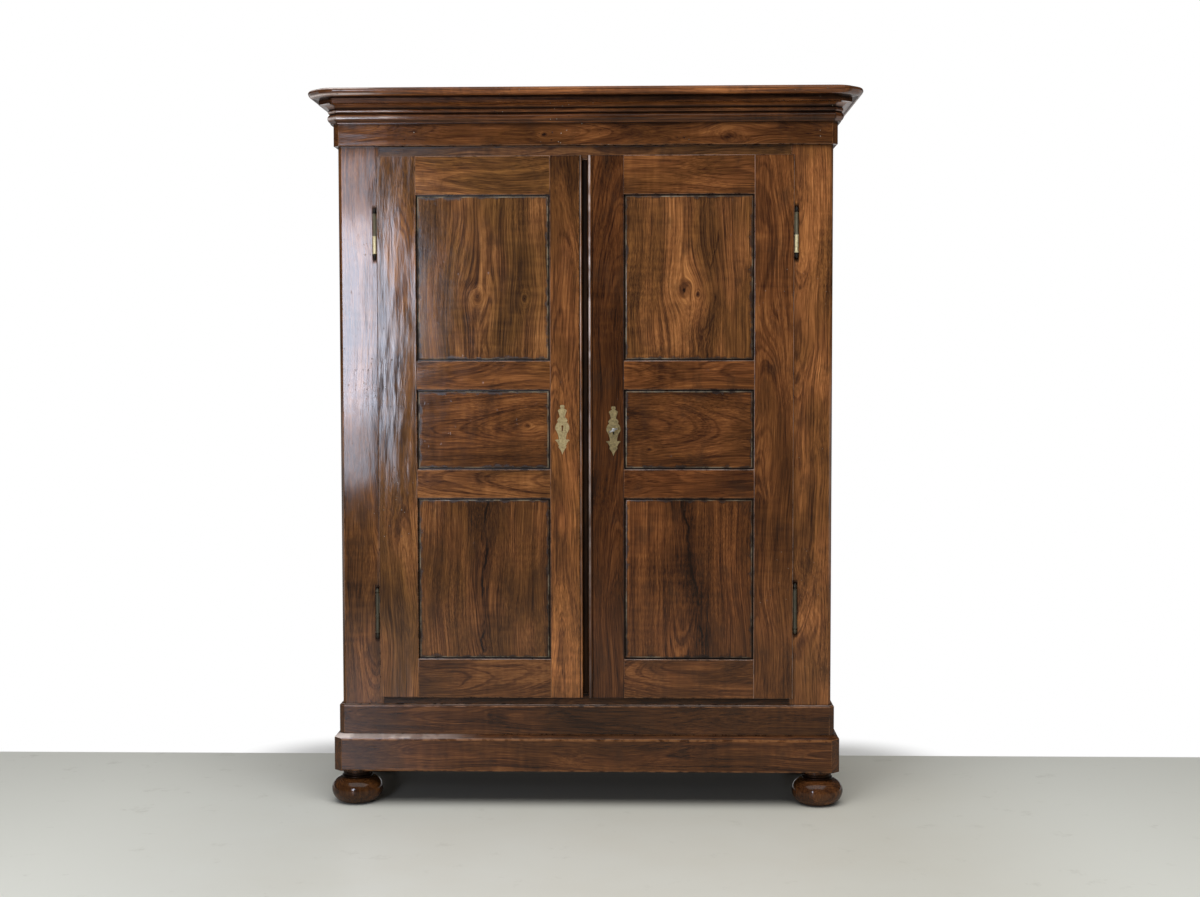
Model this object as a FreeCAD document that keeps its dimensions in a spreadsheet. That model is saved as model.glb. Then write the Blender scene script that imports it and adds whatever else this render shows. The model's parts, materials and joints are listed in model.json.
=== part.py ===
"""Two-door panelled cupboard on bun feet, with a canted, mitred cornice.

Millimetres. X runs to the right, Y to the back and Z up. The origin is on the floor,
in the middle of the whole width and depth.
"""
import FreeCAD, Part
import math
import os

import Sketcher
from FreeCAD import Placement, Rotation, Vector

SIZES = {
    # Whole body: the stile faces are its front, depths are taken back from there
    "body_width": 1410.0,
    "body_depth": 500.0,
    "cant": 9.0,
    "ring_inset": 18.0,
    "overrun": 1.0,
    # Cornice and frieze
    "cornice_reach": 70.5,
    "cornice_height": 93.0,
    "cornice_depth": 22.0,
    "frieze_proud": 12.0,
    "frieze_height": 62.0,
    "frieze_lap": 43.0,
    "top_board_thickness": 22.0,
    # Plinths
    "upper_plinth_proud": 10.0,
    "upper_plinth_height": 86.0,
    "upper_plinth_chamfer": 4.5,
    "lower_plinth_step": 15.0,
    "lower_plinth_face": 96.0,
    "lower_plinth_bevel": 11.0,
    "bottom_board_thickness": 22.0,
    "plinth_back_thickness": 30.0,
    "corner_block_side": 100.0,
    # Bun feet
    "foot_height": 100.0,
    "foot_radius": 74.0,
    "foot_inset": 17.0,
    "rear_foot_inset": 48.0,
    "foot_dowel_radius": 10.0,
    "foot_dowel_length": 35.0,
    # Front frame of the body
    "stile_length": 1602.0,
    "stile_thickness": 32.0,
    "front_stile_width": 119.0,
    "front_top_rail": 41.0,
    "front_bottom_rail": 33.0,
    "front_tenon_length": 35.0,
    "front_tenon_shoulder": 8.0,
    "front_tenon_setback": 12.0,
    "front_tenon_thickness": 10.0,
    # Side frames
    "side_thickness": 28.0,
    "side_stile_width": 90.0,
    "side_top_rail": 110.0,
    "side_middle_rail": 90.0,
    "side_bottom_rail": 130.0,
    "side_upper_panel": 640.0,
    "side_groove_setback": 10.0,
    "side_panel_recess": 6.0,
    "side_tenon_length": 45.0,
    # Joints shared by every frame with panels
    "groove_width": 8.0,
    "groove_depth": 10.0,
    "tongue_play": 1.0,
    "field_play": 4.0,
    "panel_tenon_shoulder": 14.0,
    # Back and inside
    "back_thickness": 18.0,
    "back_lap": 10.0,
    "shelf_thickness": 22.0,
    "shelf_setback": 60.0,
    "shelf_play": 1.5,
    "cleat_height": 28.0,
    "cleat_width": 22.0,
    # Doors
    "door_proud": 12.0,
    "door_thickness": 30.0,
    "door_lip_gap": 0.5,
    "door_lip_side": 8.0,
    "door_lip_rise": 12.0,
    "door_play": 2.0,
    "door_top_rail": 110.0,
    "door_middle_rail": 82.0,
    "door_bottom_rail": 112.0,
    "door_upper_panel": 472.0,
    "door_middle_panel": 229.0,
    "hinge_stile_width": 112.0,
    "left_meeting_width": 92.0,
    "right_meeting_width": 103.0,
    "meeting_gap": 16.0,
    "door_groove_setback": 13.0,
    "door_panel_recess": 4.0,
    "door_tenon_length": 45.0,
    "tongue_setback": 16.0,
    "tongue_gap": 2.0,
    "left_bead": 7.0,
    "right_bead": 13.0,
    "bead_quirk": 1.5,
    "bead_quirk_depth": 3.5,
    # Barrel hinges
    "barrel_play": 0.5,
    "pin_radius": 2.5,
    "pin_play": 0.05,
    "pin_length": 44.0,
    "knuckle_gap": 0.2,
    "lower_barrel_radius": 5.2,
    "upper_barrel_radius": 4.7,
    "barrel_ring": 0.9,
    "barrel_ring_height": 3.0,
    "lower_barrel_length": 50.0,
    "upper_barrel_length": 63.0,
    "finial_length": 17.0,
    "leaf_thickness": 2.2,
    "leaf_end_setback": 6.0,
    "door_leaf_reach": 32.0,
    "frame_leaf_reach": 26.0,
    "upper_hinge_drop": 226.0,
    "left_lower_hinge_rise": 237.0,
    "right_lower_hinge_rise": 253.0,
    # Escutcheons
    "escutcheon_width": 42.0,
    "escutcheon_height": 142.0,
    "escutcheon_thickness": 2.0,
    "escutcheon_boss_rise": 1.4,
    "escutcheon_boss_rim": 6.0,
    "left_escutcheon_offset": 65.0,
    "left_keyhole_drop": 105.0,
    "key_offset": 81.0,
    "key_drop": 115.0,
    "keyhole_play": 0.4,
    # Rim lock, its bolt and its keeper
    "lock_inset": 12.0,
    "lock_beyond_key": 28.0,
    "lock_depth": 22.0,
    "lock_wall": 2.0,
    "lock_above": 45.0,
    "lock_below": 25.0,
    "bolt_setback": 6.0,
    "bolt_thickness": 6.0,
    "bolt_height": 20.0,
    "bolt_rise": 7.0,
    "bolt_tail_gap": 5.0,
    "bolt_throw": 22.0,
    "bolt_play": 0.3,
    "keeper_play": 1.0,
    "talon_width": 9.5,
    "talon_height": 6.8,
    "keeper_width": 38.0,
    "keeper_shortfall": 2.0,
    "keeper_rim": 7.0,
    "keeper_mouth": 24.0,
    # Key
    "key_shank_radius": 3.0,
    "key_pin_radius": 2.2,
    "key_pin_play": 0.05,
    "key_bit_reach": 13.0,
    "key_bit_width": 8.0,
    "key_bit_thickness": 3.0,
    "key_collar_radius": 5.0,
    "key_collar_length": 3.0,
    "key_stand_off": 16.0,
    "key_bow_straight": 4.0,
    "key_bow_width": 26.0,
    "key_bow_thickness": 4.0,
    "key_bow_rim": 4.5,
    # Slide bolts of the left door
    "slide_offset": 60.0,
    "slide_width": 12.0,
    "slide_thickness": 6.0,
    "slide_tail": 22.0,
    "slide_tip_gap": 2.0,
    "slide_throw": 18.0,
    "slide_play": 0.3,
    "slide_plate_thickness": 2.0,
    "slide_plate_width": 34.0,
    "slide_plate_length": 150.0,
    "slide_plate_end_gap": 8.0,
    "staple_height": 12.0,
    "staple_wall": 3.0,
    "slide_knob_radius": 6.0,
    "slide_knob_length": 12.0,
    "slide_knob_gap": 5.0,
}

# Whole numbers and angles that are no lengths
BACK_BOARD_COUNT = 6
SHELF_COUNT = 3
HALF_TURN = 180
QUARTER_TURN = 90
KEY_REST_ANGLE = 25
MITRE_SHARE = math.tan(math.radians(QUARTER_TURN / 4))
CANT_GROWTH_SHARE = 2 - math.sqrt(2)
DIAGONAL_SHARE = math.sqrt(0.5)

# Outlines as shares of the piece they belong to: across, up, and the turn in degrees
# of the arc that arrives at the corner, where the side is not straight
CORNICE_SHARES = (
    (0.000, 0.000), (0.115, 0.000), (0.150, 0.055, -60), (0.165, 0.280, 110),
    (0.155, 0.300), (0.170, 0.432, 120), (0.170, 0.445), (0.560, 0.580, -62),
    (0.560, 0.722), (0.775, 0.750), (1.000, 0.905, 66), (0.880, 1.000, 96),
)
FOOT_SHARES = (
    (0.510, 0.000), (1.000, 0.370, 78), (0.620, 0.735, 82), (0.570, 0.750), (0.570, 0.805, 150),
    (0.520, 0.820), (0.520, 0.850), (0.540, 0.910, 150), (0.540, 0.925), (0.580, 0.945),
    (0.580, 1.000),
)
ESCUTCHEON_SHARES = (
    (0.00, 0.000), (0.53, 0.150, -24), (0.40, 0.197, 60), (0.56, 0.200), (1.00, 0.290, -50),
    (0.50, 0.300, 70), (0.48, 0.327), (0.95, 0.511, -30), (0.57, 0.658, 62), (0.72, 0.690),
    (0.33, 0.758, 30), (0.62, 0.890, -14), (0.17, 0.932, 30), (0.30, 0.965, 40), (0.20, 1.000, 60),
)
LEFT_KEYHOLE_SHARE = 0.57
RIGHT_KEYHOLE_SHARE = 0.53
FINIAL_SHARES = ((0.62, 0.12), (0.62, 0.20), (0.86, 0.62, 100), (0.30, 0.94, 60))

doc = FreeCAD.newDocument("cupboard")
sheet = doc.addObject("Spreadsheet::Sheet", "sizes")
for row, (name, number) in enumerate(SIZES.items(), start=1):
    sheet.set("A%d" % row, name)
    sheet.set("B%d" % row, repr(number))
    sheet.setAlias("B%d" % row, name)
doc.recompute()

nodes = {}


def number_of(term):
    return term.number if isinstance(term, Size) else float(term)


def text_of(term):
    return term.text if isinstance(term, Size) else "%.12g" % term


class Size:
    """A number from the sheet, or a sum of such numbers, with the expression that gives it."""

    def __init__(self, number, text):
        self.number = number
        self.text = text

    def __add__(self, other):
        return Size(self.number + number_of(other), "(%s + %s)" % (self.text, text_of(other)))

    def __sub__(self, other):
        return Size(self.number - number_of(other), "(%s - %s)" % (self.text, text_of(other)))

    def __rsub__(self, other):
        return Size(number_of(other) - self.number, "(%s - %s)" % (text_of(other), self.text))

    def __mul__(self, other):
        return Size(self.number * number_of(other), "(%s * %s)" % (self.text, text_of(other)))

    def __truediv__(self, other):
        return Size(self.number / number_of(other), "(%s / %s)" % (self.text, text_of(other)))

    def __neg__(self):
        return Size(-self.number, "(0 - %s)" % self.text)

    __radd__ = __add__
    __rmul__ = __mul__


class Sizes:
    """The sheet's cells by their names."""

    def __getattr__(self, name):
        return Size(SIZES[name], "sizes." + name)


s = Sizes()


def bind(thing, path, size):
    if isinstance(size, Size):
        thing.setExpression(path, size.text)


def place(thing, across, back_from, up, axis=Vector(0, 0, 1), angle=0):
    """Put a finished piece in its place, with the place tied to the sheet."""
    base = Vector(number_of(across), number_of(back_from), number_of(up))
    thing.Placement = Placement(base, Rotation(axis, angle))
    for path, size in (("x", across), ("y", back_from), ("z", up)):
        bind(thing, "Placement.Base." + path, size)


def rect(low_a, high_a, low_b, high_b):
    return [(low_a, low_b), (high_a, low_b), (high_a, high_b), (low_a, high_b)]


def disc(across, up, radius):
    return [(across - radius, up, HALF_TURN), (across + radius, up, HALF_TURN)]


def stretch(side, near, far):
    """The stretch from near to far of the middle, on the side asked for, lowest end first."""
    return (near, far) if side > 0 else (-far, -near)


def shared(shares, width, height):
    """An outline's corners, from its shares and the sizes that they follow."""
    return [(width * share[0], height * share[1]) + tuple(share[2:]) for share in shares]


def draw(sketch, outline):
    """Draw one closed outline and tie its corners and the centres of its arcs to the sheet."""
    base = sketch.GeometryCount
    geometry = []
    ends = []
    centres = []
    for index, start in enumerate(outline):
        end = outline[(index + 1) % len(outline)]
        turn = end[2] if len(end) > 2 else 0
        x0, y0, x1, y1 = [number_of(term) for term in (start[0], start[1], end[0], end[1])]
        if turn == 0:
            geometry.append(Part.LineSegment(Vector(x0, y0, 0), Vector(x1, y1, 0)))
            ends.append((1, 2))
            continue
        lean = 0 if abs(turn) == HALF_TURN else 0.5 / math.tan(math.radians(turn / 2))
        centre_x = (start[0] + end[0]) / 2 - (end[1] - start[1]) * lean
        centre_y = (start[1] + end[1]) / 2 + (end[0] - start[0]) * lean
        centre = Vector(number_of(centre_x), number_of(centre_y), 0)
        first = Vector(x0, y0, 0) if turn > 0 else Vector(x1, y1, 0)
        angle = math.atan2(first.y - centre.y, first.x - centre.x)
        circle = Part.Circle(centre, Vector(0, 0, 1), (first - centre).Length)
        geometry.append(Part.ArcOfCircle(circle, angle, angle + math.radians(abs(turn))))
        ends.append((1, 2) if turn > 0 else (2, 1))
        upright = abs(y1 - y0) > abs(x1 - x0)
        centre_at = ("DistanceX", centre_x) if upright else ("DistanceY", centre_y)
        centres.append((base + index,) + centre_at)
    sketch.addGeometry(geometry, False)
    rules = []
    ties = []
    for index, start in enumerate(outline):
        ahead = (index + 1) % len(outline)
        rules.append(Sketcher.Constraint(
            "Coincident", base + index, ends[index][1], base + ahead, ends[ahead][0]))
        for kind, size in (("DistanceX", start[0]), ("DistanceY", start[1])):
            ties.append((len(rules), size))
            rules.append(Sketcher.Constraint(kind, -1, 1, base + index, ends[index][0], number_of(size)))
    for edge, kind, size in centres:
        ties.append((len(rules), size))
        rules.append(Sketcher.Constraint(kind, -1, 1, edge, 3, number_of(size)))
    count = sketch.ConstraintCount
    sketch.addConstraint(rules)
    for index, size in ties:
        bind(sketch, "Constraints[%d]" % (count + index), size)


class Piece:
    """One solid, grown from pads and cut by pockets along the X, Y or Z direction."""

    planes = {"x": "YZ_Plane", "y": "XZ_Plane", "z": "XY_Plane"}

    def __init__(self, name):
        self.name = name
        self.steps = 0
        self.body = doc.addObject("PartDesign::Body", name)
        self.body.Label = name
        nodes[name] = self.body

    def sketch(self, axis, level, outlines):
        self.steps += 1
        sketch = self.body.newObject("Sketcher::SketchObject", "%s_outline_%d" % (self.name, self.steps))
        role = self.planes[axis]
        plane = [item for item in self.body.Origin.OriginFeatures if item.Role == role][0]
        sketch.AttachmentSupport = [(plane, "")]
        sketch.MapMode = "FlatFace"
        bind(sketch, "AttachmentOffset.Base.z", -level if axis == "y" else level)
        for outline in outlines:
            draw(sketch, outline)
        return sketch

    def feature(self, kind, sketch):
        feature = self.body.newObject("PartDesign::" + kind, "%s_%s_%d" % (self.name, kind, self.steps))
        feature.Profile = sketch
        return feature

    def pad(self, axis, low, high, *outlines):
        feature = self.feature("Pad", self.sketch(axis, high if axis == "y" else low, outlines))
        bind(feature, "Length", high - low)
        return self

    def pocket(self, axis, low, high, *outlines):
        feature = self.feature("Pocket", self.sketch(axis, low if axis == "y" else high, outlines))
        bind(feature, "Length", high - low)
        return self

    def block(self, across, depth, up):
        return self.pad("z", up[0], up[1], rect(across[0], across[1], depth[0], depth[1]))

    def notch(self, across, depth, up):
        return self.pocket("z", up[0], up[1], rect(across[0], across[1], depth[0], depth[1]))

    def turn(self, outline):
        """Turn an outline of radius and height about the upright axis."""
        feature = self.feature("Revolution", self.sketch("y", 0, [outline]))
        feature.ReferenceAxis = (feature.Profile[0], ["V_Axis"])
        return self

    def taper(self, low, low_outline, high, high_outline):
        """Join an outline to a smaller one above it."""
        feature = self.feature("AdditiveLoft", self.sketch("z", low, [low_outline]))
        feature.Sections = [self.sketch("z", high, [high_outline])]
        feature.Ruled = True
        return self


def group(name, pieces):
    """Pieces that are alike share one node, each still a solid of its own."""
    node = doc.addObject("Part::Compound", name)
    node.Label = name
    node.Links = [piece.body for piece in pieces]
    for piece in pieces:
        del nodes[piece.name]
    nodes[name] = node


# Levels and lines that several pieces share
half_width = s.body_width / 2
front = (s.frieze_proud + s.cornice_reach - s.body_depth) / 2
back = front + s.body_depth
ring_back = front + s.ring_inset
ring_half = half_width - s.ring_inset
bevel_bottom = s.foot_height + s.lower_plinth_face
upper_plinth_bottom = bevel_bottom + s.lower_plinth_bevel
base_top = upper_plinth_bottom + s.upper_plinth_height
bottom_board_under = base_top - s.bottom_board_thickness
crown_bottom = base_top + s.stile_length
cornice_bottom = crown_bottom + s.frieze_height
frieze_top = cornice_bottom + s.frieze_lap
top_board_top = crown_bottom + s.top_board_thickness
opening_half = half_width - s.front_stile_width
opening_bottom = base_top + s.front_bottom_rail
opening_top = crown_bottom - s.front_top_rail
side_inner = half_width - s.side_thickness
stile_back = front + s.stile_thickness
back_face = back - s.back_thickness
lower_plinth_proud = s.upper_plinth_proud + s.lower_plinth_step

door_front = front - s.door_proud
door_back = door_front + s.door_thickness
door_outer = opening_half + s.door_lip_side
door_bottom = opening_bottom - s.door_lip_rise
door_top = opening_top + s.door_lip_rise
meeting_edge = s.meeting_gap / 2
pin_out = s.lower_barrel_radius + s.barrel_ring + s.barrel_play
pin_across = door_outer + pin_out
pin_line = front - pin_out
middle_panel_top = door_top - s.door_top_rail - s.door_upper_panel - s.door_middle_rail
key_height = middle_panel_top - s.key_drop
slide_front = door_back + s.slide_plate_thickness + s.slide_play


def ring_plan(proud, inset):
    """Half of a ring board seen from above, with its cant, mirrored to the full width."""
    out = proud - inset
    leg = s.cant + out * CANT_GROWTH_SHARE
    side = half_width + out
    face = front - out
    right = [(side - leg, face), (side, face + leg), (side, ring_back)]
    return right + [(-corner[0], corner[1]) for corner in reversed(right)]


# Carcass


def front_stile(side):
    name = "front_stile_left" if side < 0 else "front_stile_right"
    piece = Piece(name)
    plan = [
        (opening_half, front), (half_width - s.cant, front), (half_width, front + s.cant),
        (half_width, stile_back), (opening_half, stile_back),
    ]
    piece.pad("z", base_top, crown_bottom, [(corner[0] * side, corner[1]) for corner in plan])
    tenon_in = front + s.front_tenon_setback
    reach = stretch(side, opening_half - s.overrun, opening_half + s.front_tenon_length)
    mortises = [
        rect(reach[0], reach[1], low + s.front_tenon_shoulder, high - s.front_tenon_shoulder)
        for low, high in ((base_top, opening_bottom), (opening_top, crown_bottom))
    ]
    piece.pocket("y", tenon_in, tenon_in + s.front_tenon_thickness, *mortises)
    slot = stretch(side, pin_across - s.leaf_thickness / 2, pin_across + s.leaf_thickness / 2)
    slots = [rect(slot[0], slot[1], *frame_leaf_span(height)) for height in hinge_heights(side)]
    piece.pocket("y", front - s.overrun, front + s.frame_leaf_reach, *slots)


def front_rail(name, low, high, hole_low, hole_high):
    """A rail between the front stiles, bored for a slide bolt of the left door."""
    piece = Piece(name)
    piece.block((-opening_half, opening_half), (front, stile_back), (low, high))
    tenon_in = front + s.front_tenon_setback
    up = (low + s.front_tenon_shoulder, high - s.front_tenon_shoulder)
    tenons = [
        rect(*stretch(side, opening_half, opening_half + s.front_tenon_length), *up)
        for side in (-1, 1)
    ]
    piece.pad("y", tenon_in, tenon_in + s.front_tenon_thickness, *tenons)
    half = s.slide_width / 2 + s.slide_play
    depth = (slide_front - s.slide_play, slide_front + s.slide_thickness + s.slide_play)
    piece.notch((-s.slide_offset - half, -s.slide_offset + half), depth, (hole_low, hole_high))


def framed(facing, across, thick, up):
    """Turn across and thickness into X and Y for a frame that faces Y, or the other way round."""
    return (across, thick, up) if facing == "y" else (thick, across, up)


def panel_stile(name, facing, side, inner, outer, thick, setback, up, rails, panels, tenon_length):
    """An upright of a frame: mortised for its rails and grooved for its panels."""
    piece = Piece(name)
    piece.block(*framed(facing, stretch(side, inner, outer), thick, up))
    cut_frame_joints(piece, facing, side, inner, setback, rails, panels, tenon_length)
    return piece


def cut_frame_joints(piece, facing, side, inner, setback, rails, panels, tenon_length):
    mortise = stretch(side, inner - s.overrun, inner + tenon_length)
    groove = stretch(side, inner - s.overrun, inner + s.groove_depth)
    cuts = [
        rect(*mortise, low + s.panel_tenon_shoulder, high - s.panel_tenon_shoulder)
        for low, high in rails
    ]
    cuts += [rect(*groove, low - s.groove_depth, high + s.groove_depth) for low, high in panels]
    piece.pocket(facing, setback, setback + s.groove_width, *cuts)


def panel_rail(name, facing, across, thick, setback, up, tenon_length, grooved):
    """A rail of a frame: tenoned into its stiles and grooved where a panel meets it."""
    piece = Piece(name)
    piece.block(*framed(facing, across, thick, up))
    tenon_up = (up[0] + s.panel_tenon_shoulder, up[1] - s.panel_tenon_shoulder)
    tenons = [
        rect(across[0] - tenon_length, across[0], *tenon_up),
        rect(across[1], across[1] + tenon_length, *tenon_up),
    ]
    piece.pad(facing, setback, setback + s.groove_width, *tenons)
    grooves = []
    if "under" in grooved:
        grooves.append(rect(*across, up[0] - s.overrun, up[0] + s.groove_depth))
    if "over" in grooved:
        grooves.append(rect(*across, up[1] - s.groove_depth, up[1] + s.overrun))
    piece.pocket(facing, setback, setback + s.groove_width, *grooves)
    return piece


def panel(name, facing, across, up, field_face, setback, side=1):
    """A flat panel: its thin tongue sits in the grooves, its field stands towards the face."""
    piece = Piece(name)
    lap = s.groove_depth - s.tongue_play
    tongue = rect(across[0] - lap, across[1] + lap, up[0] - lap, up[1] + lap)
    play = s.field_play
    field = rect(across[0] + play, across[1] - play, up[0] + play, up[1] - play)
    if side > 0:
        piece.pad(facing, setback, setback + s.groove_width, tongue)
        piece.pad(facing, field_face, setback, field)
    else:
        piece.pad(facing, setback, setback + s.groove_width, tongue)
        piece.pad(facing, setback + s.groove_width, field_face, field)
    return piece


def hinge_heights(side):
    rise = s.left_lower_hinge_rise if side < 0 else s.right_lower_hinge_rise
    return (door_bottom + rise, door_top - s.upper_hinge_drop)


def frame_leaf_span(height):
    return (height - s.lower_barrel_length + s.leaf_end_setback, height - s.leaf_end_setback)


def door_leaf_span(height):
    return (height + s.leaf_end_setback, height + s.upper_barrel_length - s.leaf_end_setback)


def side_frame(side):
    word = "left" if side < 0 else "right"
    thick = stretch(side, side_inner, half_width)
    setback = stretch(side, half_width - s.side_groove_setback - s.groove_width,
                      half_width - s.side_groove_setback)[0]
    front_inner = stile_back + s.side_stile_width
    back_inner = back - s.side_stile_width
    up = (base_top, crown_bottom)
    bottom_rail = (base_top, base_top + s.side_bottom_rail)
    top_rail = (crown_bottom - s.side_top_rail, crown_bottom)
    middle_top = top_rail[0] - s.side_upper_panel
    middle_rail = (middle_top - s.side_middle_rail, middle_top)
    rails = (bottom_rail, middle_rail, top_rail)
    panels = ((bottom_rail[1], middle_rail[0]), (middle_rail[1], top_rail[0]))
    joints = (setback, up, rails, panels, s.side_tenon_length)
    # An upright on the low side of its panel has its inner edge towards the back
    rear = panel_stile("side_stile_rear_" + word, "x", 1, back_inner, back, thick, *joints)
    fore = Piece("side_stile_front_" + word)
    fore.block(thick, (stile_back, front_inner), up)
    cut_frame_joints(fore, "x", -1, -front_inner, setback, rails, panels, s.side_tenon_length)
    group("side_stiles_" + word, [fore, rear])
    across = (front_inner, back_inner)
    names = ("bottom", "middle", "top")
    grooved = (("over",), ("under", "over"), ("under",))
    group("side_rails_" + word, [
        panel_rail("side_rail_%s_%s" % (name, word), "x", across, thick, setback, span,
                   s.side_tenon_length, edges)
        for name, span, edges in zip(names, rails, grooved)
    ])
    face = stretch(side, half_width - s.side_panel_recess, half_width - s.side_panel_recess)[0]
    group("side_panels_" + word, [
        panel("side_panel_%s_%s" % (name, word), "x", across, span, face, setback, -side)
        for name, span in zip(("lower", "upper"), panels)
    ])


def back_boards():
    """Upright boards whose edges lap over each other by half their thickness."""
    pitch = side_inner * 2 / BACK_BOARD_COUNT
    middle = back_face + s.back_thickness / 2
    boards = []
    for index in range(BACK_BOARD_COUNT):
        low = pitch * index - side_inner
        high = low + pitch
        low_lap = low - s.back_lap if index > 0 else low
        high_lap = high - s.back_lap if index < BACK_BOARD_COUNT - 1 else high
        board = Piece("back_board_%d" % (index + 1))
        plan = [(low, back_face), (high, back_face), (high, middle)]
        if index < BACK_BOARD_COUNT - 1:
            plan.append((high_lap, middle))
        plan += [(high_lap, back), (low_lap, back)]
        if index > 0:
            plan.append((low_lap, middle))
        plan.append((low, middle))
        board.pad("z", base_top, crown_bottom, plan if index > 0 else plan[:-1])
        boards.append(board)
    group("back_boards", boards)


def shelves():
    """Evenly spaced shelves, each resting on a cleat at both ends."""
    bay = s.stile_length / (SHELF_COUNT + 1)
    depth = (front + s.shelf_setback, back_face - s.shelf_play)
    boards = []
    cleats = []
    for index in range(SHELF_COUNT):
        top = base_top + bay * (index + 1)
        under = top - s.shelf_thickness
        board = Piece("shelf_%d" % (index + 1))
        board.block((s.shelf_play - side_inner, side_inner - s.shelf_play), depth, (under, top))
        boards.append(board)
        for side, word in ((-1, "left"), (1, "right")):
            cleat = Piece("cleat_%d_%s" % (index + 1, word))
            cleat.block(stretch(side, side_inner - s.cleat_width, side_inner), depth,
                        (under - s.cleat_height, under))
            cleats.append(cleat)
    group("shelves", boards)
    group("shelf_cleats", cleats)


def ring_sides(name, proud, low, high, bevel_rise=None, bevel_in=None):
    """The two side boards of a ring, butted behind its front board."""
    out = half_width + proud
    boards = []
    for side, word in ((-1, "left"), (1, "right")):
        board = Piece("%s_%s" % (name, word))
        outline = [(ring_half, low), (out, low)]
        if bevel_rise is None:
            outline.append((out, high))
        else:
            outline += [(out, high - bevel_rise), (out - bevel_in, high)]
        outline.append((ring_half, high))
        board.pad("y", ring_back, back, [(corner[0] * side, corner[1]) for corner in outline])
        boards.append(board)
    group(name, boards)


def crown():
    frieze = Piece("frieze_front")
    frieze.pad("z", crown_bottom, frieze_top, ring_plan(s.frieze_proud, 0))
    ring_sides("frieze_sides", s.frieze_proud, crown_bottom, frieze_top)
    board = Piece("top_board")
    board.block((-ring_half, ring_half), (ring_back, back), (crown_bottom, top_board_top))
    rail = Piece("crown_back_rail")
    rail.block((-ring_half, ring_half), (back - s.plinth_back_thickness, back),
               (top_board_top, frieze_top))


def base():
    lower = Piece("plinth_lower_front")
    outer = ring_plan(lower_plinth_proud, 0)
    lower.pad("z", s.foot_height, bevel_bottom, outer)
    lower.taper(bevel_bottom, outer, upper_plinth_bottom,
                ring_plan(lower_plinth_proud, s.lower_plinth_step))
    ring_sides("plinth_lower_sides", lower_plinth_proud, s.foot_height, upper_plinth_bottom,
               s.lower_plinth_bevel, s.lower_plinth_step)
    upper = Piece("plinth_upper_front")
    outer = ring_plan(s.upper_plinth_proud, 0)
    chamfer_bottom = base_top - s.upper_plinth_chamfer
    upper.pad("z", upper_plinth_bottom, chamfer_bottom, outer)
    upper.taper(chamfer_bottom, outer, base_top, ring_plan(s.upper_plinth_proud, s.upper_plinth_chamfer))
    ring_sides("plinth_upper_sides", s.upper_plinth_proud, upper_plinth_bottom, base_top,
               s.upper_plinth_chamfer, s.upper_plinth_chamfer)
    board = Piece("bottom_board")
    board.block((-ring_half, ring_half), (ring_back, back), (bottom_board_under, base_top))
    rail = Piece("plinth_back_rail")
    rail.block((-ring_half, ring_half), (back - s.plinth_back_thickness, back),
               (s.foot_height, bottom_board_under))


# Cornice: one moulding in five mitred lengths


def moulding_length(name, low, high, low_mitred, high_mitred):
    """A length of the cornice along X with its face to -Y, cut square or on the mitre."""
    inner = s.cornice_depth
    grow = s.cornice_reach * MITRE_SHARE + s.overrun
    start = low - grow if low_mitred else low
    end = high + grow if high_mitred else high
    profile = shared(CORNICE_SHARES, s.cornice_reach, s.cornice_height)
    face = [(-corner[0], corner[1]) + tuple(-turn for turn in corner[2:]) for corner in profile]
    seat = [(inner, s.cornice_height), (inner, s.frieze_lap), (face[0][0], s.frieze_lap)]
    piece = Piece(name)
    piece.pad("x", start, end, face + seat)
    near = -(inner + s.overrun)
    far = s.cornice_reach + s.overrun
    for edge, mitred, sign in ((low, low_mitred, -1), (high, high_mitred, 1)):
        if not mitred:
            continue
        clear = edge + (far * MITRE_SHARE + s.cornice_reach) * sign
        waste = [
            (edge + near * MITRE_SHARE * sign, -near), (edge + far * MITRE_SHARE * sign, -far),
            (clear, -far), (clear, -near),
        ]
        piece.pocket("z", -s.overrun, s.cornice_height + s.overrun, waste)
    return piece


def cornice():
    leg = s.cant + s.frieze_proud * CANT_GROWTH_SHARE
    side_line = half_width + s.frieze_proud
    face_line = front - s.frieze_proud
    run = side_line - leg
    piece = moulding_length("cornice_front", -run, run, True, True)
    place(piece.body, 0, face_line, cornice_bottom)
    cant_half = leg * DIAGONAL_SHARE
    corners = []
    for side, word in ((-1, "left"), (1, "right")):
        corner = moulding_length("cornice_corner_" + word, -cant_half, cant_half, True, True)
        place(corner.body, (side_line - leg / 2) * side, face_line + leg / 2, cornice_bottom,
              angle=QUARTER_TURN / 2 * side)
        corners.append(corner)
        depth = back - face_line - leg
        ends = (0, depth, True, False) if side > 0 else (-depth, 0, False, True)
        run = moulding_length("cornice_side_" + word, *ends)
        place(run.body, side_line * side, face_line + leg, cornice_bottom, angle=QUARTER_TURN * side)
    group("cornice_corners", corners)


# Feet


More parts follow.
